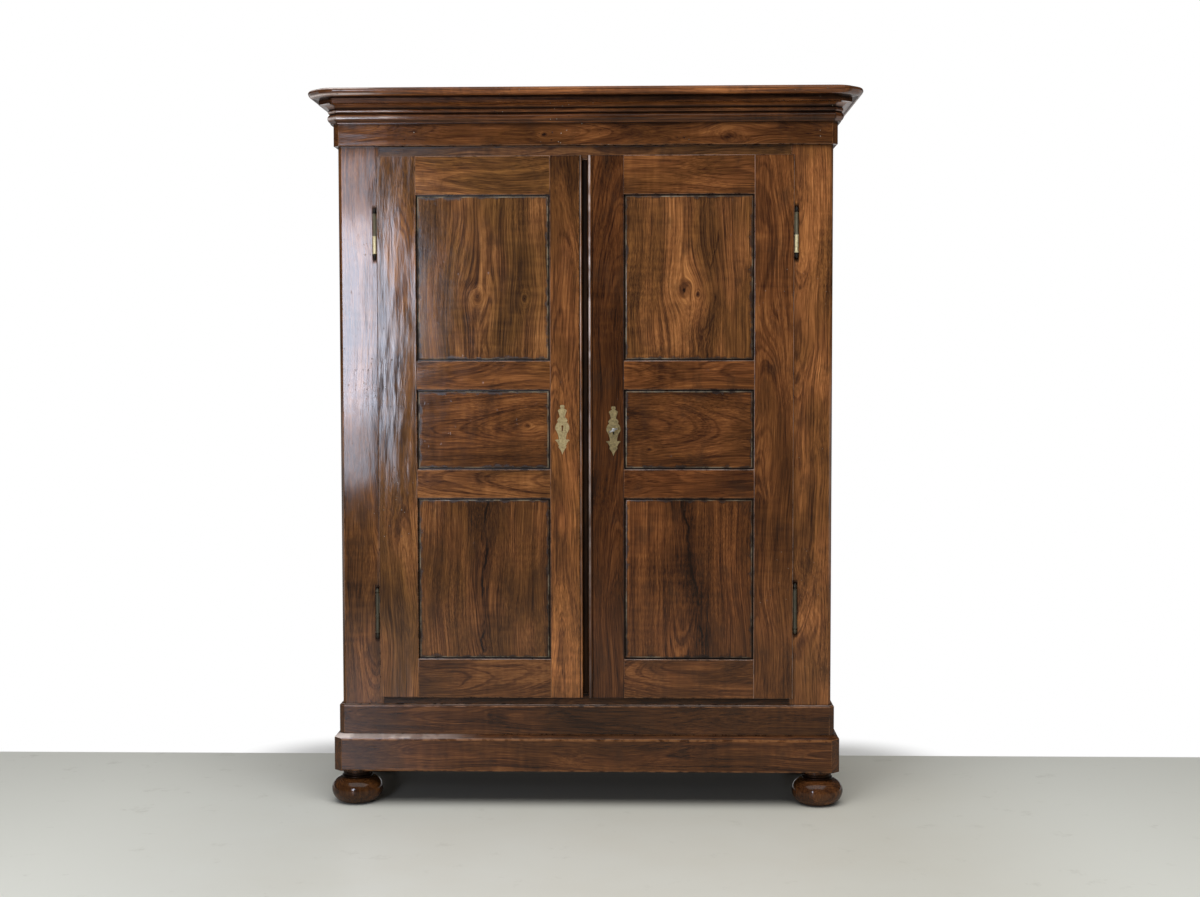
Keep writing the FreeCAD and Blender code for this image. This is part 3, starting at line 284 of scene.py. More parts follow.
def wood(name, stops, contrast, worn_colour, dust_colour):
    """Wood read from the attributes that every board carries.

    grain is the place across, into and along the trunk, counted from its middle; knot and twin hold
    the distances across and along from the board's two knots, in knot sizes, and that size; tone
    holds redness, brightness and grime; wear holds roughness, ripple and worm; low_edge and
    high_edge are the distances from the board's edges; hinge_gap those from the hinges, beside which
    shade is painted black; worn marks the eased edges; line is above 0 where shade is painted into a
    groove, gap or hollow and below 0 where a highlight is painted on a bead or round; vein is the
    distance from a dark vein, the place along it and its strength; glint is the strength of the
    highlight painted on the upper edges, above 1 on upward faces too, and below 0 on the upright
    edges instead.
    """
    finish = Finish(bpy.data.materials.new(name))
    place = finish.place()
    grain = finish.attribute("grain")
    redness, brightness, grime = finish.split(finish.attribute("tone"))
    dullness, ripple, worm = finish.split(finish.attribute("wear"))
    worn = finish.attribute("worn", "Fac")
    line = finish.attribute("line", "Fac")

    # The figure: growth rings, streaks and fibres, parted round the knots
    across, inward, along = drifting_grain(finish, grain)
    across, ring, whorl, eye = part_round_knots(finish, across)
    radius = (across * across + inward * inward).of("SQRT")
    bands = figure(finish, radius * 62, along * 0.9, across * 3, 3)
    streaks = figure(finish, across * 190, radius * 190, along * 3.2, 3, 0.6)
    fibre = figure(finish, across * 520, inward * 520, along * 13, 3, 0.65)
    cloud = figure(finish, across * 9, inward * 9, along * 3.4, 2)
    lines = figure(finish, radius * 150, along * 1.6, across * 5, 2)
    dark_line = 1 - (lines * 9).of("ABSOLUTE").ease(0.10, 0.75)
    showing = cloud.ease(-0.10, 0.12)
    curl = finish.noise(grain, (10, 10, 66), 1, 0.4) - 0.5
    curled = finish.noise(grain, (3, 3, 2.2), 1).ease(0.45, 0.62)
    level = (0.53 + cloud * (1.10 * contrast) + bands * (0.64 * contrast) + streaks * (0.70 * contrast)
             + fibre * (0.90 * contrast) + curl * curled * (0.26 * contrast)
             - dark_line * (0.04 + showing * 0.20) * contrast + ring * 0.10 + whorl * 0.9
             - eye * 0.5 - dark_vein(finish))
    colour = finish.node("ShaderNodeValToRGB", {"stops": stops}, {"Fac": level})

    # The board's own redness and brightness; olive where the dark lines don't show
    warm = finish.mix(1.0, colour, (1.16, 0.88, 0.74, 1), "MULTIPLY")
    colour = finish.mix(redness, colour, warm)
    olive = finish.mix(1.0, colour, (0.92, 1.04, 0.82, 1), "MULTIPLY")
    colour = finish.mix((1 - showing) * (1 - redness) * 0.8, colour, olive)
    lift = finish.node("ShaderNodeCombineXYZ", None, {0: brightness, 1: brightness, 2: brightness})
    colour = finish.mix(1.0, colour, lift, "MULTIPLY")

    # Smoky stains, and short checks along the grain
    stain = finish.noise(place, (17, 17, 11), 4, 0.68).ease(0.50, 0.74)
    colour = finish.mix(stain * 0.55, colour, STAIN_BROWN)
    check = figure(finish, across * 210, inward * 210, along * 9, 1).ease(0.25, 0.31)
    colour = finish.mix(check * 0.6, colour, CHECK_BLACK)

    # Soot on borders, painted shade in grooves, gaps and beside hinges; eased edges are rubbed or dusty, or
    # carry a painted highlight
    spots = finish.noise(place, (38, 38, 38), 3, 0.6)
    patchy = finish.noise(place, (11, 11, 11), 3, 0.6).ease(0.40, 0.62)
    shaded_hinge_gap = hinge_gap_shade(finish, spots)
    soot_and_painted_light = border_soot(finish, grime, spots).of("MAXIMUM", line * 0.88).of("MAXIMUM", shaded_hinge_gap * 0.92)
    colour = finish.mix(soot_and_painted_light, colour, OLD_POLISH_AND_SHADE)
    dusty = grime.ease(0.5, 0.6)
    rub = worn * spots.ease(0.36, 0.58) * (1 - dusty * (1 - patchy) * 0.85)
    edge_colour = finish.mix(dusty, worn_colour, dust_colour)
    colour = finish.mix(rub * (0.42 + grime * 0.25), colour, edge_colour)
    # Painted highlights on eased edges, beads and rounds, mixed towards gloss white
    painted_shine = painted_edge_highlights(finish, worn, line, patchy)
    colour = finish.mix(painted_shine * (0.55 + spots * 0.5), colour, HIGHLIGHT_WHITE)
    hole, dust = worm_holes(finish, place, worm)
    colour = finish.mix(hole * 0.85, colour, HOLE_BLACK)
    colour = finish.mix(dust * 0.85, colour, HOLE_DUST)

    # Hand-planed ripples, small waves, open grain, holes and dents
    swell = finish.noise(grain, (13, 13, 3.5), 2, 0.5)
    waver = finish.noise(grain, (75, 75, 11), 2, 0.5)
    dents = finish.noise(place, (95, 95, 60), 2, 0.5).ease(0.70, 0.82) * ripple
    relief = fibre * 0.10 - dark_line * 0.03 - hole * 2 - dents * 0.9
    normal = finish.bump(swell * ripple, SWELL_HEIGHT)
    normal = finish.bump(waver * ripple, WAVER_HEIGHT, normal)
    normal = finish.bump(relief, RELIEF_HEIGHT, normal)
    roughness = dullness + (spots - 0.5) * 0.10 + soot_and_painted_light * 0.3 + rub * 0.12
    # Painted shade in grooves, gaps and beside hinges also turns metallic, which renders it black
    black = line.of("MAXIMUM", shaded_hinge_gap).of("MAXIMUM", 0) * 0.9
    return finish.surface(Base_Color=colour, Roughness=roughness, Normal=normal, Metallic=black, IOR=1.47)


WALNUT_STOPS = [
    (0.00, srgb(30, 18, 12)), (0.24, srgb(62, 38, 23)), (0.44, srgb(94, 60, 34)),
    (0.60, srgb(117, 76, 43)), (0.78, srgb(142, 96, 55)), (1.00, srgb(172, 122, 72)),
]
PINE_STOPS = [
    (0.00, srgb(84, 56, 32)), (0.25, srgb(122, 88, 54)), (0.50, srgb(158, 122, 80)),
    (0.75, srgb(182, 147, 102)), (1.00, srgb(203, 171, 126)),
]
walnut = wood("polished_walnut", WALNUT_STOPS, 1.0, srgb(158, 106, 62), srgb(134, 124, 102))
pine = wood("plain_pine", PINE_STOPS, 0.8, srgb(190, 160, 120), srgb(150, 130, 100))


TARNISH_BLACK, PATINA_HEIGHT = srgb(23, 19, 15), 0.0006


def aged_metal(name, dark, middle, light, roughness, cells, metallic):
    """Metal with patina in its hollows and bright, rubbed high spots; tarnish turns it black."""
    finish = Finish(bpy.data.materials.new(name))
    place = finish.place()
    cloud = finish.noise(place, (cells, cells, cells), 4, 0.65)
    fleck = finish.noise(place, (cells * 9, cells * 9, cells * 9), 3, 0.6)
    level = cloud * 0.65 + fleck * 0.35
    colour = finish.node("ShaderNodeValToRGB",
                         {"stops": [(0.28, dark), (0.50, middle), (0.72, light)]}, {"Fac": level})
    tarnish = finish.attribute("tarnish", "Fac")
    colour = finish.mix(tarnish, colour, TARNISH_BLACK)
    rough = roughness + (fleck - 0.5) * 0.35 + tarnish * 0.1
    normal = finish.bump(cloud * 0.6 + fleck * 0.4, PATINA_HEIGHT)
    return finish.surface(Base_Color=colour, Metallic=metallic * (1 - tarnish * 0.8), Roughness=rough,
                          Normal=normal)


brass = aged_metal("aged_brass", srgb(88, 72, 45), srgb(166, 146, 101), srgb(198, 178, 128), 0.42, 160, 0.5)
dim_brass = aged_metal("dim_brass", srgb(62, 50, 30), srgb(136, 119, 79), srgb(174, 155, 108), 0.45, 160, 0.5)
hinge_brass = aged_metal("hinge_brass", srgb(176, 158, 112), srgb(226, 212, 166), srgb(244, 234, 196),
                         0.3, 120, 0.4)
iron = aged_metal("forged_iron", srgb(26, 23, 21), srgb(58, 54, 51), srgb(92, 88, 84), 0.5, 90, 0.5)
steel = aged_metal("worn_steel", srgb(120, 118, 114), srgb(186, 184, 178), srgb(226, 224, 218), 0.3, 140, 0.7)


# Boards


def islands(mesh):
    """The separate solids of a mesh, each as a list of its vertices."""
    unseen = set(mesh.verts)
    while unseen:
        start = unseen.pop()
        found = [start]
        waiting = [start]
        while waiting:
            for edge in waiting.pop().link_edges:
                for vertex in edge.verts:
                    if vertex in unseen:
                        unseen.remove(vertex)
                        found.append(vertex)
                        waiting.append(vertex)
        yield found


# Axes of a board by the way its grain runs: across, into the board, along
GRAIN_AXES = {"up": (0, 1, 2), "wide": (2, 1, 0), "deep": (2, 0, 1), "up_side": (1, 0, 2)}
EASE_SEGMENTS = 3
JUST_INSIDE = 0.002
SAME_PLACE, ON_FACE, SHORTEST_EASED = 1e-6, 1e-4, 0.008
FLAT, SHARP = math.radians(0.4), math.radians(38)
KNOT_STRETCH = 1.5
# A knot, hinge or vein that a board lacks lies far off
FAR_OFF = 9
NO_KNOT = (FAR_OFF, FAR_OFF, FAR_OFF, 0.01)
OUTSIDE_KNOT = (900, 900, 0.01)
NO_HINGES = (FAR_OFF, FAR_OFF, FAR_OFF)
NO_VEIN = (FAR_OFF, 0, 0, 0)


def wood_layers(mesh):
    """The attributes that wood reads, as layers of the mesh's vertices."""
    layers = {key: mesh.verts.layers.float_vector.new(key)
              for key in ("grain", "tone", "wear", "knot", "twin", "low_edge", "high_edge", "hinge_gap",
                          "vein")}
    for key in ("line", "glint"):
        layers[key] = mesh.verts.layers.float.new(key)
    return layers


def mark(vertex, layers, **values):
    """Set a vertex's attributes by their names."""
    for key, value in values.items():
        vertex[layers[key]] = value


def total_place(solid):
    """The sum of a solid's places, by which solids get the same order in every run."""
    return tuple(round(sum(vertex.co[axis] for vertex in solid), 4) for axis in range(3))


def board_mesh(node, grain, ease, fine, faces_only, apart):
    """A merged copy of a CAD node's mesh, with its convex edges weighted for easing.

    Edges along the grain are eased fully, the others finely. Boards that touch each other are kept
    apart by a function that says which one holds a point.
    """
    mesh = bmesh.new()
    mesh.from_mesh(cad_nodes[node].data)
    _, inward, along = GRAIN_AXES[grain]
    groups = {}
    for vertex in mesh.verts:
        face = vertex.link_faces[0]
        inside = face.calc_center_median() - face.normal * JUST_INSIDE
        groups.setdefault(apart(inside) if apart else 0, []).append(vertex)
    for group in groups.values():
        bmesh.ops.remove_doubles(mesh, verts=group, dist=SAME_PLACE)
    bmesh.ops.dissolve_limit(mesh, angle_limit=FLAT, verts=mesh.verts, edges=mesh.edges)
    weight = mesh.edges.layers.float.new("bevel_weight_edge")
    layers = wood_layers(mesh)
    solids = sorted(islands(mesh), key=total_place)
    for solid in solids:
        low = min(vertex.co[inward] for vertex in solid)
        high = max(vertex.co[inward] for vertex in solid)
        for vertex in solid:
            for edge in vertex.link_edges:
                if len(edge.link_faces) != 2 or edge.calc_face_angle_signed(0) < SHARP:
                    continue
                depths = [end.co[inward] for end in edge.verts]
                on_face = max(depths) - low < ON_FACE or high - min(depths) < ON_FACE
                run = edge.verts[1].co - edge.verts[0].co
                if run.length < SHORTEST_EASED or faces_only and not on_face:
                    continue
                edge[weight] = 1.0 if abs(run[along]) > 0.9 * run.length else fine / ease
    return mesh, solids, layers


def board(node, grain="up", material=walnut, slot="walnut", ease=0.0016, fine=0.0007, faces_only=True,
          red=0.3, bright=1.0, grime=0.3, dull=0.11, ripple=1.0, worm=0.0, vary=0.05, fade=0.0, slant=0.0,
          pith=(0.0, 0.07), tilt=0.05, knot=NO_KNOT, twin=NO_KNOT, vein=NO_VEIN, hinges=NO_HINGES,
          line=None, glint=0.0, apart=None, inset=0.0):
    """Replace a CAD node by its worn copy, with the attributes that its wood reads.

    A node's boards vary in brightness; fade brightens the low end of each and slant those further
    to the right. A knot is its place and its size; vein is a point of a dark vein, its slope and its
    strength; hinges is the line and the two heights of the hinges beside the board; line gives a
    point's painted shade (above 0) or painted highlight (below 0); a pair of glints, the strengths
    of painted edge highlights, runs from the left end to the right end; inset is the width of a
    border that lies hidden in grooves.
    """
    mesh, solids, layers = board_mesh(node, grain, ease, fine, faces_only, apart)
    across, inward, along = GRAIN_AXES[grain]
    left_glint, right_glint = glint if isinstance(glint, tuple) else (glint, glint)
    hinge_x, upper_hinge, lower_hinge = hinges
    vein_x, vein_z, slope, strength = vein
    chance = random.Random(node)
    for solid in solids:
        low = Vector([min(vertex.co[axis] for vertex in solid) for axis in range(3)])
        high = Vector([max(vertex.co[axis] for vertex in solid) for axis in range(3)])
        middle = (low + high) / 2
        off_pith = pith[0] + chance.uniform(-0.02, 0.02)
        depth = pith[1] + chance.uniform(-0.015, 0.02)
        lean = tilt * chance.choice((-1, 1))
        far = chance.uniform(0, 40)
        red_here = red + chance.uniform(-0.08, 0.08)
        bright_here = bright * chance.uniform(1 - vary, 1 + vary) * (1 + slant * middle.x)
        for vertex in solid:
            place = vertex.co
            run = place[along] - middle[along]
            rise = (place[along] - low[along]) / (high[along] - low[along])
            share = (place.x - low.x) / (high.x - low.x)
            mark(vertex, layers,
                 grain=(place[across] - middle[across] - off_pith,
                        place[inward] - middle[inward] + depth + run * lean, run + far),
                 tone=(red_here, bright_here * (1 + fade * (0.5 - rise)), grime),
                 wear=(dull, ripple, worm),
                 vein=(place.x - vein_x - (place.z - vein_z) * slope, place.z + far, strength),
                 hinge_gap=(place.x - hinge_x, place.z - upper_hinge, place.z - lower_hinge),
                 line=line(place) if line else 0,
                 glint=left_glint + (right_glint - left_glint) * share,
                 low_edge=(*(place[axis] - low[axis] - inset for axis in (across, along)), 0),
                 high_edge=(*(high[axis] - place[axis] - inset for axis in (across, along)), 0))
            for key, (x, y, z, size) in (("knot", knot), ("twin", twin)):
                away = place - Vector((x, y, z))
                vertex[layers[key]] = (away[across] / size, away[along] / (size * KNOT_STRETCH), size)
    finish_piece(mesh, node, material, ease, slot)


def finish_piece(mesh, node, material, ease, slot):
    """Ease the weighted edges, mark them as worn, and put the piece in the node's place."""
    data = bpy.data.meshes.new(node + "_boards")
    mesh.to_mesh(data)
    mesh.free()
    # The second material slot marks the faces that the bevel adds
    data.materials.append(material)
    data.materials.append(material)
    draft = new_object(node + "_draft", data)
    bevel = draft.modifiers.new("ease", "BEVEL")
    bevel.width = ease
    bevel.segments = EASE_SEGMENTS
    bevel.limit_method = "WEIGHT"
    bevel.material = 1
    bevel.use_clamp_overlap = True
    flat = draft.modifiers.new("flat", "WEIGHTED_NORMAL")
    flat.keep_sharp = True
    data.polygons.foreach_set("use_smooth", [True] * len(data.polygons))
    mark_sharp(data)
    result = applied(draft)
    worn = result.attributes.new("worn", "FLOAT", "FACE")
    marks = [0] * len(result.polygons)
    result.polygons.foreach_get("material_index", marks)
    worn.data.foreach_set("value", [float(index) for index in marks])
    result.polygons.foreach_set("material_index", [0] * len(result.polygons))
    result.materials.pop()
    piece = new_object(node + "_worn", result)
    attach(piece, body_of_node[node])
    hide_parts(node)


def mark_sharp(data):
    """Keep the corners between flat faces crisp, and leave curves smooth."""
    mesh = bmesh.new()
    mesh.from_mesh(data)
    for edge in mesh.edges:
        edge.smooth = len(edge.link_faces) == 2 and edge.calc_face_angle(0) < SHARP
    mesh.to_mesh(data)
    mesh.free()


bodies = frame["record"]["behaviour"]["bodies"]
body_of_node = {node: body for body, members in bodies.items() for node in members}

# The line of a door's hinges, and the heights of its upper and lower hinge
LEFT_HINGES = (-0.6006, 1.6465, 0.5575)
RIGHT_HINGES = (0.6006, 1.6465, 0.5735)


def left_meeting_line(place):
    """The tongue and the quirk beside the bead are painted black as shade; a highlight painted on the bead's
    crown grows towards its top.
    """
    tongue = place.y > -0.2100 and place.x > -0.0085
    quirk = place.y > -0.2185 and abs(place.x + 0.01575) < 0.001
    crown = place.y < -0.2199 and -0.0140 < place.x < -0.0105
    if tongue or quirk:
        return 1.0
    return -0.5 * (place.z - 0.2) / 1.67 if crown else 0.0


def right_meeting_line(place):
    """The edge behind the half-round and its quirk are painted black as shade; a highlight painted on its
    crown grows towards its top.
    """
    edge = place.y > -0.2100 and place.x < 0.0085
    quirk = place.y > -0.2180 and 0.0205 < place.x < 0.0230
    crown = place.y < -0.2225 and 0.0110 < place.x < 0.0165
    if edge or quirk:
        return 1.0
    return -0.9 * (place.z - 0.25) / 1.62 if crown else 0.0


PANEL_TONGUE = 0.013
PANEL = {"ease": 0.0039, "fine": 0.0039, "grime": 0.9, "inset": PANEL_TONGUE}
FRAME = {"ease": 0.0018}

# Doors: redness, brightness and figure of each board follow the real one; glint paints highlights on edges,
# and line paints shade and highlights at the meeting stiles
DOOR_BOARDS = {
    "left": {
        "hinge_stile": {"red": 0.25, "bright": 0.95, "dull": 0.10, "ripple": 1.5, "pith": (0.03, 0.06),
                        "hinges": LEFT_HINGES, "worm": 0.6},
        "meeting_stile": {"red": 0.40, "bright": 1.21, "fade": 1.0, "pith": (-0.04, 0.08),
                          "line": left_meeting_line},
        "top_rail": {"red": 0.20, "bright": 0.96, "glint": 0.3},
        "middle_rails": {"red": 0.35, "bright": 0.88, "glint": 0.45},
        "bottom_rail": {"red": 0.40, "bright": 0.55, "glint": 1.0},
        "upper_panel": {"red": 0.10, "bright": 0.92, "knot": (-0.307, 0, 1.468, 0.034),
                        "twin": (-0.172, 0, 1.462, 0.022), "pith": (0, 0.035), "ripple": 0.4},
        "middle_panel": {"red": 0.45, "bright": 0.74, "knot": (-0.165, 0, 1.100, 0.014), "tilt": 0.06,
                         "ripple": 0.6},
        "lower_panel": {"red": 0.35, "bright": 0.81, "pith": (0.0, 0.02), "tilt": 0.09, "ripple": 0.6,
                        "vein": (-0.292, 0.66, 0.06, 0.8)},
    },
    "right": {
        "hinge_stile": {"red": 0.50, "bright": 0.68, "pith": (-0.03, 0.06), "hinges": RIGHT_HINGES,
                        "worm": 0.45, "glint": -0.6},
        "meeting_stile": {"red": 0.80, "bright": 0.39, "pith": (0.05, 0.06), "line": right_meeting_line},
        "top_rail": {"red": 0.50, "bright": 0.70, "glint": 0.5},
        "middle_rails": {"red": 0.70, "bright": 0.71, "glint": 1.0},
        "bottom_rail": {"red": 0.55, "bright": 0.63, "glint": 1.0},
        "upper_panel": {"red": 0.30, "bright": 1.0, "knot": (0.322, 0, 1.472, 0.016),
                        "twin": (0.283, 0, 1.484, 0.036), "pith": (0, 0.03),
                        "vein": (0.356, 1.40, 0.10, 0.45)},
        "middle_panel": {"red": 0.65, "bright": 0.70, "knot": (0.185, 0, 1.030, 0.012), "tilt": 0.05},
        "lower_panel": {"red": 0.55, "bright": 0.74, "pith": (0.0, 0.02), "tilt": 0.07,
                        "vein": (0.307, 0.66, -0.12, 1.0)},
    },
}
for side, boards in DOOR_BOARDS.items():
    for part, look in boards.items():
        wide = part.endswith(("rail", "rails")) or part == "middle_panel"
        kind = PANEL if part.endswith("panel") else FRAME
        board("%s_door_%s" % (side, part), "wide" if wide else "up", **kind, **look)


RAIL_BLACK_ABOVE = 0.31
NECK_LOW, NECK_HIGH = 0.0735, 0.0900


def under_doors(place):
    """The bottom rail is painted black as shade towards its top edge, behind the doors."""
    return 1.0 if place.z > RAIL_BLACK_ABOVE else 0.0


def foot_neck(place):
    """Shade is painted black in the hollow above the bun."""
    return 0.75 if NECK_LOW < place.z < NECK_HIGH else 0.0


dark = {"faces_only": False, "slot": "dark_walnut"}
board("front_stile_left", "up", red=0.4, bright=0.76, pith=(0.05, 0.06), dull=0.09, ripple=0.75,
      worm=0.7, faces_only=False, hinges=LEFT_HINGES)
board("front_stile_right", "up", red=0.40, bright=1.29, pith=(-0.05, 0.06), worm=0.25, faces_only=False,
      hinges=RIGHT_HINGES)
board("front_rail_top", "wide", red=0.1, bright=0.56, grime=0.49, dull=0.22)
board("front_rail_bottom", "wide", red=0.4, bright=0.45, line=under_doors)
board("frieze_front", "wide", red=0.50, bright=0.52, ease=0.002, worm=1.0,
      knot=(0.408, 0, 1.918, 0.042), twin=(-0.115, 0, 1.925, 0.014), **dark)
board("frieze_sides", "deep", red=0.5, bright=0.7, ease=0.002, dull=0.42, **dark)
# glint paints highlights on the plinth's edges; on the lower plinth's bevel it is strongest at the left
board("plinth_upper_front", "wide", red=0.55, bright=0.45, ripple=0.8, glint=0.5, **dark)
board("plinth_upper_sides", "deep", red=0.5, bright=0.45, dull=0.42, **dark)
board("plinth_lower_front", "wide", red=0.55, bright=0.51, ease=0.0055, ripple=0.8, glint=(1.75, 0.0), **dark)
board("plinth_lower_sides", "deep", red=0.5, bright=0.50, ease=0.003, dull=0.42, **dark)
for side in ("left", "right"):
    board("side_stiles_" + side, "up_side", red=0.4, bright=0.8, dull=0.42)
    board("side_rails_" + side, "deep", red=0.4, bright=0.75, dull=0.42)
    board("side_panels_" + side, "up_side", red=0.35, bright=0.85, ease=0.0034, fine=0.0034, grime=0.75,
          dull=0.42, inset=PANEL_TONGUE)
board("feet", "up", red=0.5, bright=0.38, slant=0.4, pith=(0, 0), dull=0.12, line=foot_neck, **dark)


BACK_BOARD_WIDTH, BACK_LAP, BACK_MIDDLE = 0.22567, 0.010, 0.28225


def back_board(point):
    """Which of the six back boards holds a point: they lap by 10 mm at half their thickness."""
    lap = BACK_LAP if point.y > BACK_MIDDLE else 0.0
    return min(2, math.floor((point.x + lap) / BACK_BOARD_WIDTH))


plain = {"material": pine, "slot": "plain_wood", "red": 0.1, "bright": 1.1, "grime": 0.6, "dull": 0.7,
         "vary": 0.12}
board("back_boards", "up", ease=0.0022, apart=back_board, **plain)
for node, grain in (("shelves", "wide"), ("shelf_cleats", "deep"), ("top_board", "wide"),
                    ("bottom_board", "wide"), ("corner_blocks", "up"), ("crown_back_rail", "wide"),
                    ("plinth_back_rail", "wide")):
    board(node, grain, faces_only=False, **plain)


# Cornice: five lengths in a row round the front, mitred at the middle of each rounded corner

FACE_SIDE, FACE_FRONT, FACE_BACK, FACE_LEG = 0.717, -0.22075, 0.29125, 0.01603
CORNICE_FOOT, REACH, RISE, SEAT_DEPTH, SEAT_HEIGHT = 1.957, 0.0705, 0.093, 0.022, 0.043
MITRE = math.tan(math.radians(22.5))
ARC_STEPS, CORNER_STEPS = 8, 4
LEFT_SIDE, LEFT_CORNER, FRONT, RIGHT_CORNER, RIGHT_SIDE = range(5)
LEAST_RADIUS, FACE_RADIUS, SLAB_REACH = 0.001, 0.006, 0.04
# Rounds that turn further than this get a painted highlight on their crown; on the front it fades over this
# share
GLEAM_TURN, GLEAM, GLEAM_SHARE = 60, (-0.6, -1.5, -0.6), 0.16
# Up to each share of the rise, how much paler the moulding is painted, standing in for light bounced up from
# below: the nose of the slab is palest below
PAINTED_LIGHT_GAINS = ((0.20, 1.0), (0.46, 1.25), (0.74, 1.9), (0.90, 2.5), (1.01, 1.35))
# Shares of reach and rise, the turn in degrees of the arc that arrives there, and the shade painted in the
# hollow
CORNICE_SHAPE = (
    (0.000, 0.000, 0, 1), (0.115, 0.000, 0, 0.8), (0.150, 0.055, -60, 0.3), (0.165, 0.280, 110, 0.8),
    (0.155, 0.300, 0, 1), (0.170, 0.432, 120, 0.8), (0.170, 0.445, 0, 1), (0.560, 0.580, -62, 0.2),
    (0.560, 0.722, 0, 0.7), (0.775, 0.750, 0, 1), (1.000, 0.905, 66, 0), (0.880, 1.000, 96, 0),
)


def arc(start, end, turn, steps):
    """The points after start of an arc that turns anticlockwise by turn degrees on its way to end."""
    half = math.radians(turn) / 2
    chord = end - start
    centre = (start + end) / 2 + Vector((-chord.y, chord.x)) / (2 * math.tan(half))
    return [centre + Matrix.Rotation(2 * half * step / steps, 2) @ (start - centre)
            for step in range(1, steps + 1)]


def cornice_section():
    """The reach and height of every point of the moulding's section, with the shade or highlight painted
    there.
    """
    section = []
    for across, up, turn, soot_and_painted_light in CORNICE_SHAPE:
        corner = Vector((across * REACH, up * RISE))
        if turn:
            points = arc(section[-1][0], corner, turn, ARC_STEPS)
            first = section[-1][1]
            middle = [0.0] * (ARC_STEPS - 1)
            middle[0], middle[-1] = first * 0.5, soot_and_painted_light * 0.5
            if turn > GLEAM_TURN:
                middle[2:5] = GLEAM
            section += list(zip(points, middle + [soot_and_painted_light]))
        else:
            section.append((corner, soot_and_painted_light))
    for across, up in ((-SEAT_DEPTH, RISE), (-SEAT_DEPTH, SEAT_HEIGHT), (0, SEAT_HEIGHT)):
        section.append((Vector((across, up)), 0.0))
    return section


def cornice_path(reach):
    """Corners of the outline at this reach, and the stations of its five rounded lengths."""
    side, face = FACE_SIDE + reach, FACE_FRONT - reach
    turn_y = FACE_FRONT + FACE_LEG - reach * MITRE
    turn_x = FACE_SIDE - FACE_LEG + reach * MITRE
    right = [(turn_x, face), (side, turn_y), (side, FACE_BACK)]
    corners = [Vector(spot) for spot in [(-x, y) for x, y in reversed(right)] + right]
    radius = max(LEAST_RADIUS, FACE_RADIUS + 0.3 * reach + 1.3 * max(0, reach - SLAB_REACH))
    turns = [Matrix.Rotation(math.radians(45 * step / (2 * CORNER_STEPS)), 2)
             for step in range(2 * CORNER_STEPS + 1)]
    bends = []
    for before, corner in zip(corners, corners[1:-1]):
        ahead = (corner - before).normalized()
        start = corner - ahead * radius * MITRE
        centre = start + Vector((-ahead.y, ahead.x)) * radius
        bends.append([centre + turn @ (start - centre) for turn in turns])
    stations = []
    for length in range(5):
        begin = [corners[0]] if length == LEFT_SIDE else bends[length - 1][CORNER_STEPS:]
        end = [corners[5]] if length == RIGHT_SIDE else bends[length][:CORNER_STEPS + 1]
        stations.append(begin + [begin[-1].lerp(end[0], GLEAM_SHARE)] + end)
    return corners, stations


def cornice_length(node, lengths, dull, red=0.7, bright=0.49, ripple=0.55, worm=0.9):
    """Replace a CAD node by one or more lengths of moulding."""
    mesh = bmesh.new()
    layers = wood_layers(mesh)
    section = cornice_section()
    paths = [cornice_path(point.x) for point, _ in section]
    chance = random.Random(node)
    for length in lengths:
        rows = []
        far, off_pith = chance.uniform(0, 40), chance.uniform(-0.02, 0.02)
        shade = bright * chance.uniform(0.93, 1.07)
        for (point, soot_and_painted_light), (corners, stations) in zip(section, paths):
            ahead = (corners[length + 1] - corners[length]).normalized()
            # Each height is painted paler by its gain, standing in for light bounced up from below
            gain = next(gain for top, gain in PAINTED_LIGHT_GAINS if point.y <= top * RISE)
            row = []
            for at, spot in enumerate(stations[length]):
                vertex = mesh.verts.new((spot.x, spot.y, CORNICE_FOOT + point.y))
                run = (spot - corners[length]).dot(ahead)
                left = (corners[length + 1] - spot).dot(ahead)
                # Painted highlights stay only on the left corner and the left end of the front
                gleams = length == LEFT_CORNER or length == FRONT and at <= CORNER_STEPS
                mark(vertex, layers,
                     grain=(point.y - RISE / 2 - off_pith, 0.06 - point.x, run + far),
                     tone=(red, shade * gain, 0.3), wear=(dull, ripple, worm), vein=(FAR_OFF, 0, 0),
                     knot=OUTSIDE_KNOT, twin=OUTSIDE_KNOT, hinge_gap=NO_HINGES,
                     low_edge=(1, run, 0), high_edge=(1, left, 0),
                     line=soot_and_painted_light if soot_and_painted_light > 0 or gleams else 0.0)
                row.append(vertex)
            rows.append(row)
        for upper, lower in zip(rows, rows[1:] + rows[:1]):
            for at in range(len(upper) - 1):
                mesh.faces.new((upper[at], upper[at + 1], lower[at + 1], lower[at]))
        mesh.faces.new([row[0] for row in rows])
        mesh.faces.new([row[-1] for row in reversed(rows)])
    bmesh.ops.recalc_face_normals(mesh, faces=mesh.faces)
    finish_piece(mesh, node, walnut, 0.0005, "dark_walnut")


cornice_length("cornice_front", [FRONT], dull=0.11)
cornice_length("cornice_corners", [LEFT_CORNER, RIGHT_CORNER], dull=0.11)
cornice_length("cornice_side_left", [LEFT_SIDE], dull=0.35)
cornice_length("cornice_side_right", [RIGHT_SIDE], dull=0.35)


# Metal

# Heights of the hinges' barrels, and of the joint in the upper ones
BETWEEN_HINGES = 1.0
LOWER_FOOT, LOWER_TOP = 0.500, 0.628
UPPER_FOOT, UPPER_JOINT, UPPER_TOP = 1.5895, 1.6401, 1.7035


